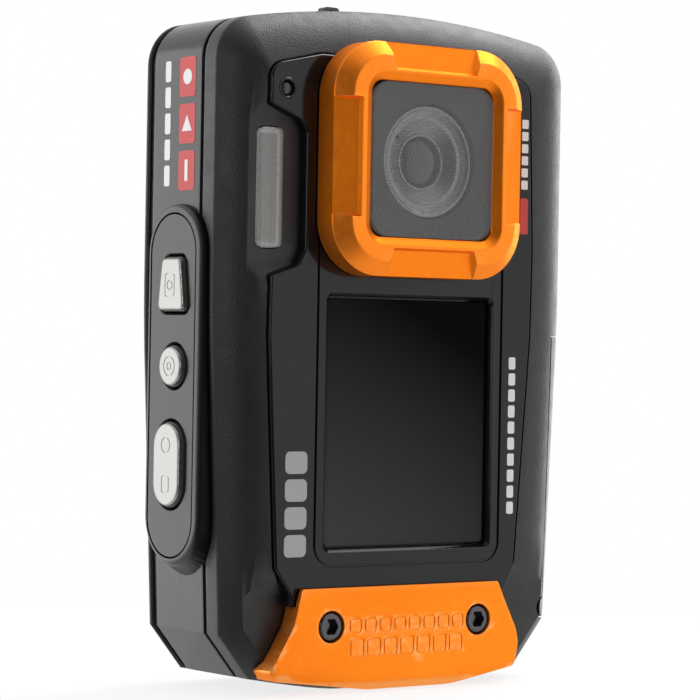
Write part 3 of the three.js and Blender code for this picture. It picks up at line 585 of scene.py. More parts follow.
GRAIN = soft_grain()
GLOSS = polished("gloss_black", (0.004, 0.004, 0.0042), (0.007, 0.007, 0.0073), 0.12, 0.1, 0.27)
BAND = band_plastic()
INNER = polished("inner_moulding", (0.012, 0.012, 0.013), (0.02, 0.02, 0.021), 0.55, 0.6)
KEYCAP = polished("key_plastic", (0.020, 0.020, 0.021), (0.032, 0.032, 0.033), 0.38, 0.5)
ORANGE = orange_metal()
SILVER = brushed("satin_silver", (0.36, 0.355, 0.34), 0.30, 0.9)
DARK_METAL = brushed("dark_anodised", (0.060, 0.061, 0.065), 0.28, 0.75)
BARREL = brushed("satin_barrel", (0.30, 0.30, 0.31), 0.26, 0.85)
BLACK_OXIDE = brushed("black_oxide", (0.085, 0.083, 0.088), 0.16, 0.9)
STEEL = brushed("plain_steel", (0.62, 0.63, 0.64), 0.28)
BRASS = brushed("turned_brass", (0.66, 0.50, 0.24), 0.3)
CELL = brushed("wrapped_cell", (0.20, 0.21, 0.22), 0.45, 0.4)
RUBBER = rubber()
BOARD = circuit_board()
GLASS = clear_glass("lens_glass", (0.26, 0.26, 0.26), 0.02, 0.24)
SCREEN = screen_glass()
ELEMENT = coated_element()
LAMP_GLASS = polished("lamp_glass", (0.03, 0.028, 0.028), (0.05, 0.045, 0.045), 0.12, 0.1)
FLASH_GLASS = clear_glass("flash_glass", (0.46, 0.47, 0.45), 0.05, 0.45)
WHITE_INK = print_ink("white_ink", (0.86, 0.86, 0.85))
GREY_INK = print_ink("grey_ink", (0.42, 0.42, 0.42))
RED_INK = print_ink("red_ink", (0.62, 0.022, 0.018))


# ---- front shell

# How far the shell's sections are drawn in, and their depth: a crisp crease, then a gentle dome
FRONT_PROFILE = [
    (0.35, FRONT_SEAM - 0.2), (0.08, FRONT_SEAM - 0.4), (0.0, FRONT_SEAM - 0.9), (0.0, -4.85),
    (0.05, -5.1), (0.2, -5.35), (0.9, -6.15), (1.7, -6.95), (2.6, -7.65), (3.6, -8.25),
    (4.7, -8.8), (5.9, -9.22), (7.2, -9.55), (9.0, SHELL_FRONT),
]

INLAY_CORNERS = [
    (-26.8, 93.0, 2.6), (-26.8, 87.3, 0.5), (-21.2, 85.1, 1.2), (-20.2, 83.4, 2), (-20.2, 66.0, 1.5),
    (-21.5, 63.6, 0.8), (-26.3, 62.0, 0.5), (-26.4, 52.9, 8), (-25.0, 26.4, 8),
    (-24.6, 18.9, 1.5), (-21.9, 15.2, 1), (-21.9, 13.2), (19.1, 13.2), (19.1, 14.1, 1),
    (21.0, 17.5, 2), (23.6, 53.5, 12), (23.8, 67.4, 8), (22.9, 93.2, 2.6), (17.5, 94.9, 4), (-17.5, 95.1, 4),
]


INLAY = rounded(INLAY_CORNERS, 6)


def body_loft(name, profile, grow=0.0):
    """A skin over sections of the case, from (inset, y) pairs, all moved outwards by grow."""
    rings = [at_y(body_outline(inset - grow), y - grow if y < 0 else y + grow) for inset, y in profile]
    return loft(name, rings)


def stadium(half, centre, top, tail, reach, steps=24):
    """A round head of radius half below top, and a tail whose semi-ellipse reaches below its centre."""
    angles = [math.pi * i / steps for i in range(steps + 1)]
    head = around(centre, top - half, half, angles)
    foot = [Vector((centre - half * math.cos(a), tail - reach * math.sin(a))) for a in angles]
    return head + foot


def pod_solid(name, grow=0.0):
    """The raised stadium on the shutter side, with a narrow rounded rim and a sloping tail."""
    root, face = -29.0, frame_box("side_band")[0].x
    y0, y1, top, tail = -4.0, 10.45, 72.5, 26.2
    root_reach, face_reach = 10.5, 7.2
    rings = []
    for depth, inset in ((root - face, 0.0), (0.75, 0.0), (0.42, 0.07), (0.2, 0.24), (0.06, 0.5), (0.0, 0.8)):
        share = depth / (root - face)
        reach = face_reach + (root_reach - face_reach) * share - inset + grow
        half = (y1 - y0) / 2 - inset + grow
        points = stadium(half, (y0 + y1) / 2, top - inset + grow, tail, reach)
        rings.append(at_x(points, face + depth - grow))
    return loft(name, rings)


def scoop(name, x0, x1, z0, z1, floor, flare, sides):
    """A hollow with a flat floor; sides says which of x0, x1, z0, z1 slope out towards the front."""
    depth = 3
    out = [flare if side else 0 for side in sides]
    low = rectangle(x0, x1, z0, z1)
    high = rectangle(x0 - out[0], x1 + out[1], z0 - out[2], z1 + out[3])
    return loft(name, [at_y(low, floor), at_y(high, floor - depth)])


def flash_scoop():
    return scoop("flash_scoop", -FAR, -19.9, 64.2, 85.0, -8.4, 10, (0, 0, 1, 1))


def foot_scoops(margin=0.0):
    """The lowered corners of the case's foot, beside the end plate. A margin makes them smaller."""
    inner, outer, top, floor = 19.2 + margin, 30.0, 14.6 - margin, -7.7 - margin
    return [scoop("foot_scoop", -outer, -inner, -1, top, floor, 6, (1, 0, 0, 1)),
            scoop("foot_scoop", inner, outer, -1, top, floor, 6, (0, 1, 0, 1))]


def door_room():
    return block("door_room", DOOR_ROOM_X, FAR, -FAR, DOOR_ROOM_BACK, *DOOR_ROOM_Z)


def front_shell():
    shell = body_loft("front_shell_skin", FRONT_PROFILE)
    cut(shell, body_loft("cavity", [(2.0, 2), (2.0, -4.6), (3.6, -6.6), (7.5, -7.0)]))
    cut(shell, flash_scoop(), *foot_scoops())
    cut(shell, slab_y("recess", offset(INLAY, 0.28), -FAR, -8.4))
    screen = centred(FRONT_LCD.x, FRONT_LCD.z, *SCREEN_WELL, SCREEN_WELL_RADIUS)
    cut(shell, slab_y("screen", screen, -FAR, -5))
    cut(shell, rod_y("barrel", LENS.x, LENS.z, BARREL_BORE, -FAR, -5, 64))
    cut(shell, slab_y("flash", centred(FLASH.x, FLASH.z, 4.8, 18.1, 1.4), -FAR, -5))
    cut(shell, rod_y("lamp", LAMP.x, LAMP.z, LAMP_BORE, -FAR, -5, 32))
    cut(shell, pod_solid("pod_room", 0.3))
    cut(shell, door_room(), rod_y("hinge_room", *HINGE, HINGE_ROOM, -FAR, FAR, 40))
    soften(shell, 0.14, 2, 38)
    place(shell, GRAIN, "case", "shell_grain", "front_shell")


def front_inlay():
    """Gloss plate with rounded edges, a stepped frame round the screen and a sunken screen well."""
    edge = [(0.0, -8.7), (0.0, -9.62), (-0.06, -9.80), (-0.18, -9.93), (-0.36, FRONT)]
    inlay = stepped_y("inlay_plate", INLAY, edge)
    x, z = FRONT_LCD.x, FRONT_LCD.z
    width, height = SCREEN_WELL
    well = [at_y(centred(x, z, width + 2 * wider, height + 2 * wider, SCREEN_WELL_RADIUS + wider), y)
            for wider, y in ((0.5, -FAR), (0.5, -10.06), (0.4, -9.86), (0.08, -9.5), (0.0, -9.3), (0.0, 0))]
    cut(inlay, loft("well", well))
    cut(inlay, frame_groove())
    cut(inlay, rod_y("barrel", LENS.x, LENS.z, BARREL_BORE, -FAR, 0, 64))
    cut(inlay, rod_y("lamp", LAMP.x, LAMP.z, LAMP_BORE, -FAR, 0, 32))
    soften(inlay, 0.07, 2, 30)
    place(inlay, GLOSS, "case", "inlay_gloss", "front_inlay")


def frame_groove():
    """The fine groove that frames the screen and runs up under the lens bezel."""
    x, z = FRONT_LCD.x, FRONT_LCD.z
    half, bottom, top = 17.7, z - 21.4, z + 30
    outer = rectangle(x - half - 0.2, x + half + 0.2, bottom - 0.2, top, 3.2, 8)
    inner = rectangle(x - half + 0.2, x + half - 0.2, bottom + 0.2, top - 0.4, 2.8, 8)
    ring = [at_y(outer, -FAR), at_y(outer, -9.7), at_y(inner, -9.7), at_y(inner, -FAR)]
    return loft("groove", ring, ring_shaped=True)


# ---- side band, pod and rear cover

def side_band():
    profile = [(0.35, FRONT_SEAM + 0.2), (0.07, FRONT_SEAM + 0.38), (0.0, FRONT_SEAM + 0.7),
               (0.0, REAR_SEAM - 1.6), (0.12, REAR_SEAM - 1.1), (0.45, REAR_SEAM - 0.15)]
    band = body_loft("side_band_skin", profile)
    cut(band, slab_y("inside", body_outline(2.0), -FAR, FAR))
    join(band, pod_solid("pod"))
    low, high = frame_box("pod_panel")
    pocket = rectangle(low.y - 0.22, high.y + 0.22, low.z - 0.22, high.z + 0.22, 6.0, 14)
    cut(band, slab_x("pocket", pocket, -FAR, -30.3))
    cut(band, door_room(), rod_y("hinge_room", *HINGE, HINGE_ROOM, -FAR, DOOR_ROOM_BACK, 40))
    nut = middle("tripod_nut")
    nut_room = slab_x("nut_room", circle(nut.y, nut.z, 5.25, 64), 30, FAR)
    lug = middle("strap_lug")
    lug_room = block("lug_room", lug.x - 1.75, lug.x + 1.75, lug.y - 1.05, lug.y + 1.05, 101.2, 120)
    cut(band, nut_room, lug_room)
    soften(band, 0.14, 2, 32)
    place(band, BAND, "case", "band_grey", "side_band")


def rear_cover():
    profile = [(0.35, REAR_SEAM + 0.15), (0.08, REAR_SEAM + 0.35), (0.0, REAR_SEAM + 0.6), (0.12, 13.3),
               (0.45, 13.9), (0.95, 14.5), (1.6, 15.0), (2.5, 15.35), (3.6, REAR)]
    cover = body_loft("rear_cover_skin", profile)
    cut(cover, body_loft("cavity", [(2.2, 10), (2.4, 13.2), (3.6, 13.9)]))
    x, z = REAR_LCD.x, REAR_LCD.z
    cut(cover, slab_y("screen_recess", centred(x, z, 45.5, 58.5, 1.75), 14.3, FAR))
    cut(cover, slab_y("screen_opening", centred(x, z, 42, 55, 1), 10, FAR))
    nav = middle("ok_key")
    cut(cover, rod_y("nav_room", nav.x, nav.z, NAV_ROOM, 10, FAR, 72))
    for key in ("menu_key", "play_key"):
        centre = middle(key)
        cut(cover, rod_y("key_room", centre.x, centre.z, ROUND_KEY_ROOM, 10, FAR, 40))
    for i in range(1, 5):
        screw = middle(f"case_screw_{i}")
        cut(cover, rod_y("head_room", screw.x, screw.z, 1.8, 14.2, FAR, 32))
        cut(cover, rod_y("shank_room", screw.x, screw.z, 1.1, 10, FAR, 24))
    soften(cover, 0.15, 2, 35)
    place(cover, GRAIN, "case", "shell_grain", "rear_cover")


# ---- lens

BEZEL_TALLNESS = 0.907           # the ring is a little narrower above and below the lens


def bezel_outline(inset):
    low, high = frame_box("lens_bezel")
    width, height = high.x - low.x - 2 * inset, high.z - low.z - 2 * inset * BEZEL_TALLNESS
    return centred(LENS.x, LENS.z, width, height, max(8.5 - inset, 1.0), 12)


def notch_cutter(name, long_way, sign):
    """A trough cut in the chamfer: a floor that slopes outwards, a low inner wall and slanted ends."""
    low, high = frame_box("lens_bezel")
    half = (high.x - low.x) / 2 if long_way == "z" else (high.z - low.z) / 2
    floor, front, above, slope = -15.0, -15.6, -17.0, 0.3
    end_slant = 0.12 if long_way == "z" else 1.3
    rings = []
    for y, inner in ((floor, half - 3.9), (front, half - 4.25), (above, half - 4.9)):
        length = 8.6 + 0.35 * (floor - y) / (floor - front)
        outer = half + 4
        foot = y + slope * (outer - inner) if y == floor else y
        ring = []
        near, far = length - end_slant, length + end_slant * 1.2
        corners = ((inner, y, -near), (outer, foot, -far), (outer, foot, far), (inner, y, near))
        for across, depth, along in corners:
            offset_x, offset_z = (sign * across, along) if long_way == "z" else (along, sign * across)
            ring.append((LENS.x + offset_x, depth, LENS.z + offset_z))
        rings.append(ring)
    return loft(name, rings)


def lens_bezel():
    profile = [
        (0.0, -10.3), (0.0, -10.9), (0.0, -13.80), (0.03, -13.92), (0.14, -14.03),
        (2.25, -15.40), (2.50, -15.54), (2.80, -15.6), (4.85, -15.6), (5.05, -15.56), (5.2, -15.48),
        (6.32, -14.86), (6.42, -14.76), (6.45, -14.6), (6.45, -10.3),
    ]
    bezel = loft("lens_bezel_ring", [at_y(bezel_outline(i), y) for i, y in profile], ring_shaped=True)
    for way in ("x", "z"):
        for sign in (1, -1):
            cut(bezel, notch_cutter("notch", way, sign))
    soften(bezel, 0.11, 2, 24)
    place(bezel, ORANGE, "case", "orange_metal", "lens_bezel")


def lens_window():
    low, high = frame_box("lens_window")
    outline = centred(LENS.x, LENS.z, high.x - low.x - 0.1, high.z - low.z - 0.1, 3.2, 12)
    pane = stepped_y("lens_pane", outline, [(-0.1, -14.42), (0, -14.5), (0, -15.0), (-0.12, -15.1)])
    soften(pane, 0.04, 2, 30)
    place(pane, GLASS, "case", "clear_glass", "lens_window")


def lens_mask():
    outline = centred(LENS.x, LENS.z, 23.1, 23.1, 3.1, 12)
    mask = slab_y("lens_mask_plate", outline, -14.1, -13.6)
    cut(mask, rod_y("mouth", LENS.x, LENS.z, 8.75, -FAR, 0, 96))
    soften(mask, 0.05, 2, 30)
    place(mask, INNER, "case", "rubber_black", "lens_mask")


def lens_barrel():
    """A stepped mouth with fine threads that narrows to the front element."""
    profile = [(3.75, -4.2), (8.4, -4.2), (8.4, -13.42), (8.32, -13.5), (8.0, -13.5), (7.9, -13.42)]
    radius, y = 7.9, -13.3
    for _ in range(4):
        profile += [(radius - 0.24, y), (radius - 0.24, y + 0.05), (radius - 0.02, y + 0.13)]
        radius, y = radius - 0.2, y + 0.15
    profile += [(6.85, -12.7), (6.45, -12.68), (6.38, -12.78), (6.25, -12.78), (6.15, -12.66), (4.45, -11.8),
                (4.3, -11.7), (4.2, -11.85), (3.95, -11.85), (3.85, -11.7), (3.75, -10.6)]
    barrel = turned("lens_barrel_rings", profile, LENS.x, LENS.z, 128)
    cut(barrel, rod_y("key_hole", LENS.x - 5.15, LENS.z + 3.45, 0.4, -FAR, -11.6, 20))
    smooth(barrel, 25)
    place(barrel, BARREL, "case", "dark_metal", "lens_barrel")


def front_element():
    arc = [(3.45 * math.sin(math.radians(a)), -11.2 - 0.8 * (1 - (a / 90) ** 2)) for a in range(0, 91, 9)]
    profile = [(0.02, -8.2)] + [(3.45, -8.2)] + arc[::-1][:-1] + [(0.02, -12.0)]
    element = turned("front_element_glass", profile, LENS.x, LENS.z, 64, closed=False)
    smooth(element, 40)
    place(element, ELEMENT, "case", "clear_glass", "lens_front_element")


# ---- front screen, flash and lamp

def front_screen():
    low, high = frame_box("front_lcd_window")
    outline = centred(FRONT_LCD.x, FRONT_LCD.z, high.x - low.x, high.z - low.z, 0.8, 8)
    pane = stepped_y("front_screen_pane", outline, [(0, -8.1), (0, -8.85), (-0.05, -8.95), (-0.15, -9.0)])
    smooth(pane, 40)
    place(pane, SCREEN, "case", "tinted_glass", "front_lcd_window")


def flash_window():
    """Clear cover with flutes that run its length and two bands of cross ribs."""
    low, high = frame_box("flash_window")
    across, along = 56, 96
    vertices, faces = [], []
    for j in range(along + 1):
        z = low.z + (high.z - low.z) * j / along
        from_end = min(j, along - j) / along
        for i in range(across + 1):
            u = i / across
            x = low.x + (high.x - low.x) * u
            side = min(u, 1 - u)
            dome = 0.22 * min(1, side / 0.08) ** 0.5 * min(1, from_end / 0.02) ** 0.5
            flute = 0.10 * abs(math.sin(math.pi * (u - 0.1) / 0.8 * 6)) if 0.1 < u < 0.9 else 0
            flute = flute if from_end > 0.03 else 0
            rib = 0.07 * abs(math.sin(math.pi * j / 3)) if 0.08 < from_end < 0.15 else 0
            vertices.append((x, low.y + 0.38 - dome - 0.5 * flute - rib * 0.5, z))
    row = across + 1
    for j in range(along):
        for i in range(across):
            a = j * row + i
            faces.append((a, a + 1, a + row + 1, a + row))
    count = len(vertices)
    vertices += [(x, high.y, z) for x, _, z in vertices]
    faces += [tuple(count + v for v in reversed(face)) for face in faces]
    rim = list(range(row)) + [j * row + across for j in range(1, along + 1)]
    rim += [along * row + i for i in range(across - 1, -1, -1)] + [j * row for j in range(along - 1, 0, -1)]
    for a, b in zip(rim, rim[1:] + rim[:1]):
        faces.append((b, a, count + a, count + b))
    window = new_object("flash_cover", vertices, faces)
    outline = centred(FLASH.x, FLASH.z, high.x - low.x, high.z - low.z, 1.2, 8)
    common(window, slab_y("rounded", outline, -FAR, 0))
    smooth(window, 50)
    place(window, FLASH_GLASS, "case", "clear_glass", "flash_window")


def timer_lamp():
    angles = [math.radians(a) for a in range(0, 90, 10)]
    arc = [(0.95 * math.cos(a), -9.55 - 0.3 * math.sin(a)) for a in angles]
    profile = [(0.01, -7.3), (0.95, -7.3)] + arc + [(0.01, -9.86)]
    lamp = turned("lamp_lens", profile, LAMP.x, LAMP.z, 32, closed=False)
    smooth(lamp, 40)
    place(lamp, LAMP_GLASS, "case", "clear_glass", "timer_lamp")
    profile = [(1.2, -9.2), (1.2, -10.0), (1.3, -10.08), (1.5, -10.08), (1.6, -10.0), (1.6, -9.95),
               (1.24, -9.9)]
    ring = turned("lamp_ring", profile, LAMP.x, LAMP.z, 40)
    smooth(ring, 30)
    place(ring, GLOSS, "case", "inlay_gloss")


# ---- end plate

ENGRAVING_FLOOR = -10.99

PLATE_CORNERS = [
    (-20.4, 15.85, 0.5), (-21.9, 10.3, 6), (-24.2, 6.6, 4), (-26.0, 3.8, 0.5), (-24.8, 2.4, 0.6),
    (-8, 0.4, 20), (8, 0.4, 20), (20.6, 2.6, 0.8), (21.3, 6.2, 3), (20.8, 8.4, 3), (18.7, 12.4, 8),
    (17.0, 15.85, 0.5),
]

# The plate's face is flatter than the shell below it, with a small rounding at the foot
PLATE_PROFILE = [
    (0.0, -3.5), (0.0, -6.0), (0.05, -7.2), (0.3, -8.3), (0.7, -9.0), (1.3, -9.5), (2.0, -9.8), (2.9, -9.95),
    (3.9, FRONT),
]


def end_plate():
    """Metal plate over the foot of the case: a crowned face, thick sides and two sunk screws."""
    plate = body_loft("end_plate_skin", PLATE_PROFILE, 1.1)
    common(plate, slab_y("sides", rounded(PLATE_CORNERS, 8), -FAR, -5.4))
    under = body_loft("under", FRONT_PROFILE, GAP)
    cut(under, *foot_scoops(GAP))
    cut(plate, under, slab_y("inlay_room", offset(INLAY, 0.05), -10.35, 0))
    for side in ("left", "right"):
        screw = middle(f"end_plate_screw_{side}")
        cut(plate, rod_y("counterbore", screw.x, screw.z, 2.42, -FAR, 0, 48))
    for groove in engraved_row(9.0, 11.2, 8, 2.25) + engraved_row(5.4, 8.2, 7, 2.6):
        cut(plate, groove)
    sliced(plate, 1.6)
    soften(plate, 0.22, 2, 42)
    place(plate, ORANGE, "case", "orange_metal", "end_plate")


def outline_groove(name, outline, width, y):
    """A cutter that leaves a fine groove along an outline."""
    return stepped_y(name, outline, [(0, -FAR), (0, y), (-width, y), (-width, -FAR)], ring_shaped=True)


def engraved_row(z0, z1, count, width):
    """A row of engraved rounded frames, centred between the two screws."""
    pitch = width + 0.55
    first = -0.7 - pitch * (count - 1) / 2
    middle_z, height = (z0 + z1) / 2, z1 - z0
    frames = [centred(first + i * pitch, middle_z, width, height, 0.6, 4) for i in range(count)]
    return [outline_groove("engraving", outline, 0.2, ENGRAVING_FLOOR) for outline in frames]


def plate_screws():
    for side in ("left", "right"):
        low, high = frame_box(f"end_plate_screw_{side}")
        centre = (low + high) / 2
        top = low.y
        shank = [(0.02, high.y), (1.0, high.y), (1.0, -9.6)]
        head = [(2.08, -9.6), (2.08, top + 0.25), (2.0, top + 0.1), (1.85, top + 0.02), (1.7, top),
                (0.02, top)]
        screw = turned(f"socket_screw_{side}", shank + head, centre.x, centre.z, 64, closed=False)
        hexagon = circle(centre.x, centre.z, 1.32, 6)
        cut(screw, slab_y("socket", hexagon, top - 1, top + 1.1))
        soften(screw, 0.05, 2, 30)
        place(screw, BLACK_OXIDE, "case", "dark_metal", f"end_plate_screw_{side}")


# ---- pod panel and buttons

MARK_DEPTH = 0.09
MARK_WIDTH = 0.16
SHUTTER_CORNERS = [(-0.55, 56.7, 0.9), (6.4, 56.7, 0.9), (5.3, 64.4, 0.9), (0.5, 64.4, 0.9)]


def button_outlines():
    power = middle("power_button")
    low, high = frame_box("mode_button")
    edge = 0.8
    return {
        "shutter_button": rounded(SHUTTER_CORNERS, 6),
        "power_button": circle(power.y, power.z, 2.9, 64),
        "mode_button": rectangle(low.y + edge, high.y - edge, low.z + edge, high.z - edge, 3.4, 14),
    }


def pod_panel():
    low, high = frame_box("pod_panel")
    outline = rectangle(low.y, high.y, low.z, high.z, 5.8, 14)
    steps = [(0, high.x), (0, low.x + 0.2), (-0.06, low.x + 0.06), (-0.2, low.x)]
    panel = stepped_x("pod_panel_plate", outline, steps)
    room = [(0.75, -FAR), (0.75, low.x - 0.01), (0.5, low.x + 0.25), (0.42, low.x + 0.5), (0.42, 0)]
    for button in button_outlines().values():
        cut(panel, stepped_x("button_room", button, room))
    smooth(panel, 35)
    place(panel, BAND, "case", "band_grey", "pod_panel")


def button_marks():
    """Fine engraved marks: two rings for power, plain frames for the others."""
    power, mode = middle("power_button"), middle("mode_button")
    shutter = (3.0, 60.4)
    spread = 2.9
    return {
        "shutter_button": [centred(*shutter, 2.6, 3.6, 0.6, 5), circle(*shutter, 0.75, 24)],
        "power_button": [circle(power.y, power.z, 1.5, 40), circle(power.y, power.z, 0.6, 24)],
        "mode_button": [circle(mode.y, mode.z + spread, 1.2, 32),
                        centred(mode.y, mode.z - spread, 2.0, 2.6, 0.5, 4)],
    }


def pod_buttons():
    marks = button_marks()
    bodies = {"shutter_button": "shutter", "power_button": "power", "mode_button": "mode"}
    for name, outline in button_outlines().items():
        face = frame_box(name)[0].x
        steps = [(0.0, -32.7), (0.0, -34.85), (0.0, -35.1), (-0.04, -35.26), (-0.16, -35.40), (-0.34, -35.47),
                 (-0.6, face)]
        cap = stepped_x(name + "_cap", outline, steps)
        floor = face + MARK_DEPTH
        for mark in marks[name]:
            inner = offset(mark, -MARK_WIDTH)
            rings = [at_x(mark, -FAR), at_x(mark, floor), at_x(inner, floor), at_x(inner, -FAR)]
            cut(cap, loft("mark", rings, ring_shaped=True))
        smooth(cap, 50)
        place(cap, SILVER, bodies[name], "button_silver", name)
        steps = [(0.22, -32.6), (0.22, -34.65), (0.12, -34.8), (0.012, -34.82), (0.012, -32.6)]
        skirt = stepped_x(name + "_skirt", outline, steps, ring_shaped=True)
        smooth(skirt, 40)
        place(skirt, KEYCAP, bodies[name], "key_black")


# ---- door, latch and the back

KNUCKLE_FIT = [(0.0, 12.0)] + FRONT_PROFILE[3:]


def battery_door():
    """A plate that wraps round from the front, with a recess for its latch and a hinge knuckle."""
    door = body_loft("door_front", FRONT_PROFILE)
    join(door, slab_y("door_side", body_outline(0), FRONT_SEAM - 0.35, DOOR_BACK))
    bottom, top = DOOR_Z
    outline = rounded([(-FAR, bottom), (DOOR_BACK, bottom), (DOOR_BACK, top, 0.8), (-FAR, top)], 8)
    common(door, slab_x("door_slab", outline, DOOR_X, FAR))
    low, high = frame_box("door_latch")
    room, travel = 0.25, 3
    recess = rectangle(low.y - room, high.y + room, low.z - room, high.z + travel + room, 1.0)
    cut(door, slab_x("latch_recess", recess, 31.9, FAR))
    knuckle = rod_y("knuckle", *HINGE, KNUCKLE_RADIUS, -FAR, 9.6, 40)
    join(door, common(knuckle, body_loft("fit", KNUCKLE_FIT)))
    soften(door, 0.18, 2, 35)
    place(door, GRAIN, "door", "shell_grain", "battery_door")


def door_latch():
    low, high = frame_box("door_latch")
    outline = rectangle(low.y, high.y, low.z, high.z, 0.9, 8)
    steps = [(0, low.x), (0, high.x - 0.3), (-0.1, high.x - 0.1), (-0.3, high.x)]
    latch = stepped_x("door_latch_slider", outline, steps)
    centre = (low.z + high.z) / 2
    for step in (-2, -0.7, 0.6, 1.9):
        z = centre + step
        rib = slab_x("rib", rectangle(low.y + 0.9, high.y - 0.9, z - 0.28, z + 0.28, 0.25), high.x - 0.4, FAR)
        cut(latch, rib)
    soften(latch, 0.08, 2, 35)
    place(latch, KEYCAP, "latch", "key_black", "door_latch")


def rear_screen():
    low, high = frame_box("rear_lcd_window")
    outline = centred(REAR_LCD.x, REAR_LCD.z, high.x - low.x, high.z - low.z, 1.5, 10)
    steps = [(0, low.y), (0, high.y - 0.15), (-0.06, high.y - 0.04), (-0.2, high.y)]
    pane = stepped_y("rear_screen_pane", outline, steps)
    smooth(pane, 40)
    place(pane, SCREEN, "case", "tinted_glass", "rear_lcd_window")


def key_cap(name, outline):
    """A rear key, which rides on the body of its own name."""
    top = frame_box(name)[1].y
    steps = [(0.0, 13.4), (0.0, top - 0.35), (-0.08, top - 0.12), (-0.25, top - 0.02), (-0.5, top)]
    cap = stepped_y(name + "_cap", outline, steps)
    smooth(cap, 50)
    place(cap, KEYCAP, name, "key_black", name)


def rear_keys():
    nav = middle("ok_key")
    half = math.radians(39)
    for step, name in enumerate(("right_key", "up_key", "left_key", "down_key")):
        heading = step * math.pi / 2
        angles = [heading - half + 2 * half * i / 24 for i in range(25)]
        outer = around(nav.x, nav.z, NAV_OUTER, angles)
        inner = around(nav.x, nav.z, NAV_INNER, angles)
        key_cap(name, outer + inner[::-1])
    key_cap("ok_key", circle(nav.x, nav.z, OK_RADIUS, 56))
    for name in ("menu_key", "play_key"):
        centre = middle(name)
        key_cap(name, circle(centre.x, centre.z, ROUND_KEY_RADIUS, 48))


# ---- printed marks

INK_PROUD = 0.04
TILE = {"y": 2.2, "width": 4.2, "height": 5.9, "radius": 0.5, "pitch": 6.95, "top": 94.3}


def ink_on_side(name, outline, x, material):
    """A printed film on the straight -X side of the case, from a (y, z) outline."""
    place(slab_x(name, outline, x - INK_PROUD, x + INK_PROUD), material, "case", "band_grey")


def ink_on_front(name, outline, y, material):
    """A printed film on the gloss inlay, from an (x, z) outline."""
    place(slab_y(name, outline, y - INK_PROUD, y + INK_PROUD), material, "case", "inlay_gloss")


def side_marks():
    """Three red tiles with a plain white sign on each, and a row of plain white blocks beside them."""
    wall = -HALF_WIDTH
    for i in range(3):
        z = TILE["top"] - TILE["height"] / 2 - i * TILE["pitch"]
        y = TILE["y"]
        tile = centred(y, z, TILE["width"], TILE["height"], TILE["radius"], 5)
        ink_on_side(f"red_tile_{i}", tile, wall, RED_INK)
        disc = circle(y, z, 1.15, 32)
        triangle = [Vector((y - 1.3, z - 1.1)), Vector((y + 1.3, z - 1.1)), Vector((y, z + 1.3))]
        signs = [disc, triangle, centred(y, z, 0.8, 3.2, 0.2, 4)]
        ink_on_side(f"tile_sign_{i}", signs[i], wall - INK_PROUD, WHITE_INK)
    for i in range(5):
        block_of_print = centred(7.4, 92.4 - 3.9 * i, 1.5, 3.1, 0.35, 4)
        ink_on_side(f"side_block_{i}", block_of_print, wall, WHITE_INK)


def front_marks():
    """Plain strips where the inlay is printed: no letters or signs."""
    for i in range(4):
        ink_on_front(f"grey_block_{i}", centred(-21.2, 34.5 - 4.1 * i, 4.0, 3.3, 0.8, 5), FRONT, GREY_INK)
    for i in range(10):
        ink_on_front(f"low_block_{i}", centred(20.0, 49.6 - 2.5 * i, 1.35, 1.9, 0.3, 4), FRONT, WHITE_INK)
    for i in range(6):
        ink_on_front(f"high_block_{i}", centred(21.9, 87.0 - 1.9 * i, 1.3, 1.4, 0.2, 4), FRONT, WHITE_INK)
    ink_on_front("red_tile_front", centred(21.9, 72.6, 1.6, 5.6, 0.3, 5), FRONT, RED_INK)


# ---- inner parts that keep their CAD shape

KEPT = {
    RUBBER: ["case_seal", "door_seal", "key_membrane"],
    STEEL: ["case_screw_1", "case_screw_2", "case_screw_3", "case_screw_4", "door_hinge_pin", "card_socket",
            "usb_socket", "microphone", "flash_reflector"],
    INNER: ["lens_mount", "port_frame", "battery_holder", "speaker"],
    DARK_METAL: ["strap_lug", "image_sensor", "front_lcd_module", "rear_lcd_module"],
    BOARD: ["sensor_board", "key_board", "main_board", "rear_key_board"],
    CELL: ["battery", "flash_capacitor"],
    KEYCAP: ["memory_card"],
    BRASS: ["tripod_nut"],
    FLASH_GLASS: ["flash_tube"],
}


def finish_kept_nodes():
    for material, names in KEPT.items():
        for name in names:
            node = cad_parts[name]
            node.data.materials.clear()
            node.data.materials.append(material)
            bevel = node.modifiers.new("edges", "BEVEL")
            bevel.width = 0.08 * MM
            bevel.segments = 2
            bevel.limit_method = "ANGLE"
            bevel.angle_limit = math.radians(40)


# ---- studio

VIEW_TURN = -37.0
VIEW_ROLL = 1.01
VIEW_DISTANCE = 431.7
VIEW_TARGET = Vector((-11.66, -10.0, 51.25))
VIEW_LENS = 148.65

# The studio darkens round the direction of the photo's camera, between these two cosines
DARK_STARTS = 0.34
DARK_FULL = 0.80
DARK_LEVEL = 0.05

FLOOR_RADIUS = 900
FLOOR_SIDES = 96
FLOOR_DROP = 0.02

STUDIO_CENTRE = (0, 0, 55)


def add_camera():
    turn = math.radians(VIEW_TURN)
    roll = math.radians(VIEW_ROLL)
    back = Vector((math.sin(turn), -math.cos(turn), 0))
    right = Vector((math.cos(turn), math.sin(turn), 0))
    up = Vector((0, 0, 1))
    rolled_right = right * math.cos(roll) + up * math.sin(roll)
    rolled_up = up * math.cos(roll) - right * math.sin(roll)
    turned_axes = Matrix((rolled_right, rolled_up, back)).transposed()
    data = bpy.data.cameras.new("photo_camera")
    data.lens = VIEW_LENS
    data.sensor_width = 36
    data.clip_start = 0.01
    data.clip_end = 20
    camera = linked("photo_camera", data)
    camera.matrix_world = Matrix.Translation((VIEW_TARGET + back * VIEW_DISTANCE) * MM) @ turned_axes.to_4x4()
    bpy.context.scene.camera = camera


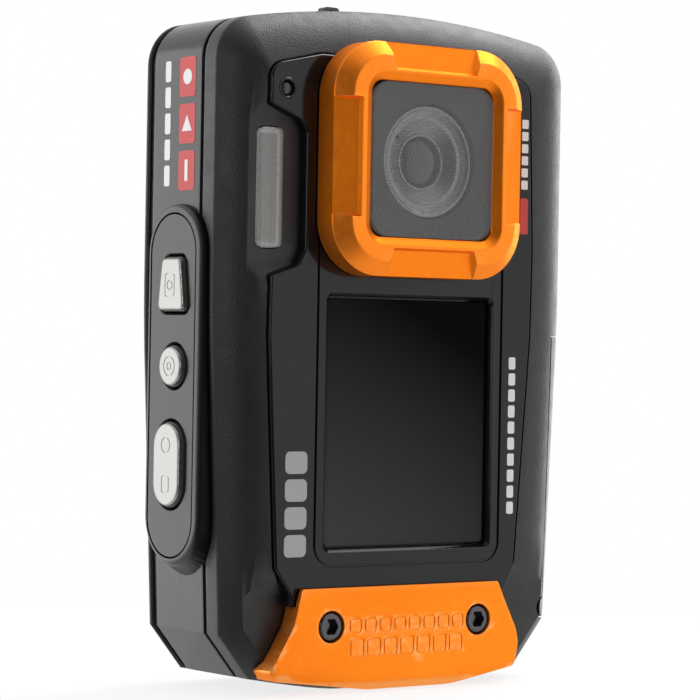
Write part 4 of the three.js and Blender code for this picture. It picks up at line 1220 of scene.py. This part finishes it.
def area_light(name, place_mm, target_mm, size_mm, radiance):
    """A softbox whose face is as bright as radiance, where 1 is the white of the studio."""
    data = bpy.data.lights.new(name, "AREA")
    data.shape = "RECTANGLE"
    data.size, data.size_y = (s * MM for s in size_mm)
    data.energy = radiance * math.pi * data.size * data.size_y
    light = linked(name, data)
    light.location = Vector(place_mm) * MM
    light.rotation_mode = "QUATERNION"
    light.rotation_quaternion = (Vector(target_mm) - Vector(place_mm)).to_track_quat("-Z", "Y")


def add_world():
    """A studio that is white to the camera, and lights the object less from the photo camera's side."""
    world = bpy.data.worlds.new("studio")
    world.use_nodes = True
    tree = world.node_tree
    background = tree.nodes["Background"]
    coordinates = tree.nodes.new("ShaderNodeTexCoord")
    dot = tree.nodes.new("ShaderNodeVectorMath")
    dot.operation = "DOT_PRODUCT"
    turn = math.radians(VIEW_TURN)
    dot.inputs[1].default_value = (math.sin(turn), -math.cos(turn), 0)
    tree.links.new(coordinates.outputs["Generated"], dot.inputs[0])
    ramp = tree.nodes.new("ShaderNodeMapRange")
    ramp.interpolation_type = "SMOOTHSTEP"
    limits = {"From Min": DARK_STARTS, "From Max": DARK_FULL, "To Min": 1.0, "To Max": DARK_LEVEL}
    for name, value in limits.items():
        ramp.inputs[name].default_value = value
    tree.links.new(dot.outputs["Value"], ramp.inputs["Value"])
    seen = tree.nodes.new("ShaderNodeLightPath").outputs["Is Camera Ray"]
    brightest = tree.nodes.new("ShaderNodeMath")
    brightest.operation = "MAXIMUM"
    tree.links.new(seen, brightest.inputs[0])
    tree.links.new(ramp.outputs["Result"], brightest.inputs[1])
    tree.links.new(brightest.outputs[0], background.inputs["Color"])
    background.inputs["Strength"].default_value = 1.0
    bpy.context.scene.world = world


def add_floor():
    """A pale floor that fades out into the white of the studio."""
    outline = [(p.x, p.y, -FLOOR_DROP) for p in circle(0, 0, FLOOR_RADIUS, FLOOR_SIDES)]
    floor = new_object("studio_floor", outline, [tuple(range(FLOOR_SIDES))])
    n = Nodes("studio_floor")
    length = n.add("ShaderNodeVectorMath")
    length.operation = "LENGTH"
    n.put(length.inputs[0], n.coordinates)
    fade = n.ranged(length.outputs["Value"], 0.03, 0.14, 0.8, 1)
    colour = n.mix(n.noise(30, 3), (0.93, 0.93, 0.93), (0.96, 0.96, 0.96))
    n.finish(Base_Color=colour, Roughness=0.7, Specular_IOR_Level=0.1,
             Normal=n.bump(n.noise(500, 3), 0.00002, 0.2))
    clear = n.add("ShaderNodeBsdfTransparent")
    mixed = n.tree.nodes.new("ShaderNodeMixShader")
    n.put(mixed.inputs[0], fade)
    n.put(mixed.inputs[1], n.shader.outputs[0])
    n.put(mixed.inputs[2], clear.outputs[0])
    n.put(n.tree.nodes["Material Output"].inputs["Surface"], mixed.outputs[0])
    floor.data.materials.append(n.material)


def add_studio():
    bpy.context.scene.view_settings.view_transform = "Standard"
    add_world()
    add_floor()
    area_light("right_rim", (560, 190, 140), STUDIO_CENTRE, (200, 480), 4.0)
    area_light("top_softbox", (330, 30, 520), STUDIO_CENTRE, (320, 320), 7.5)
    area_light("front_fill", (330, -450, 90), STUDIO_CENTRE, (560, 560), 0.35)
    area_light("left_wall", (-390, 470, 55), STUDIO_CENTRE, (560, 560), 1.4)
    area_light("left_strip", (-400, -270, 120), (0, 0, 80), (60, 200), 9.0)


# ---- assembly

add_camera()
front_shell()
front_inlay()
side_band()
rear_cover()
lens_bezel()
lens_window()
lens_mask()
lens_barrel()
front_element()
front_screen()
flash_window()
timer_lamp()
end_plate()
plate_screws()
pod_panel()
pod_buttons()
battery_door()
door_latch()
rear_screen()
rear_keys()
side_marks()
front_marks()
finish_kept_nodes()
add_studio()
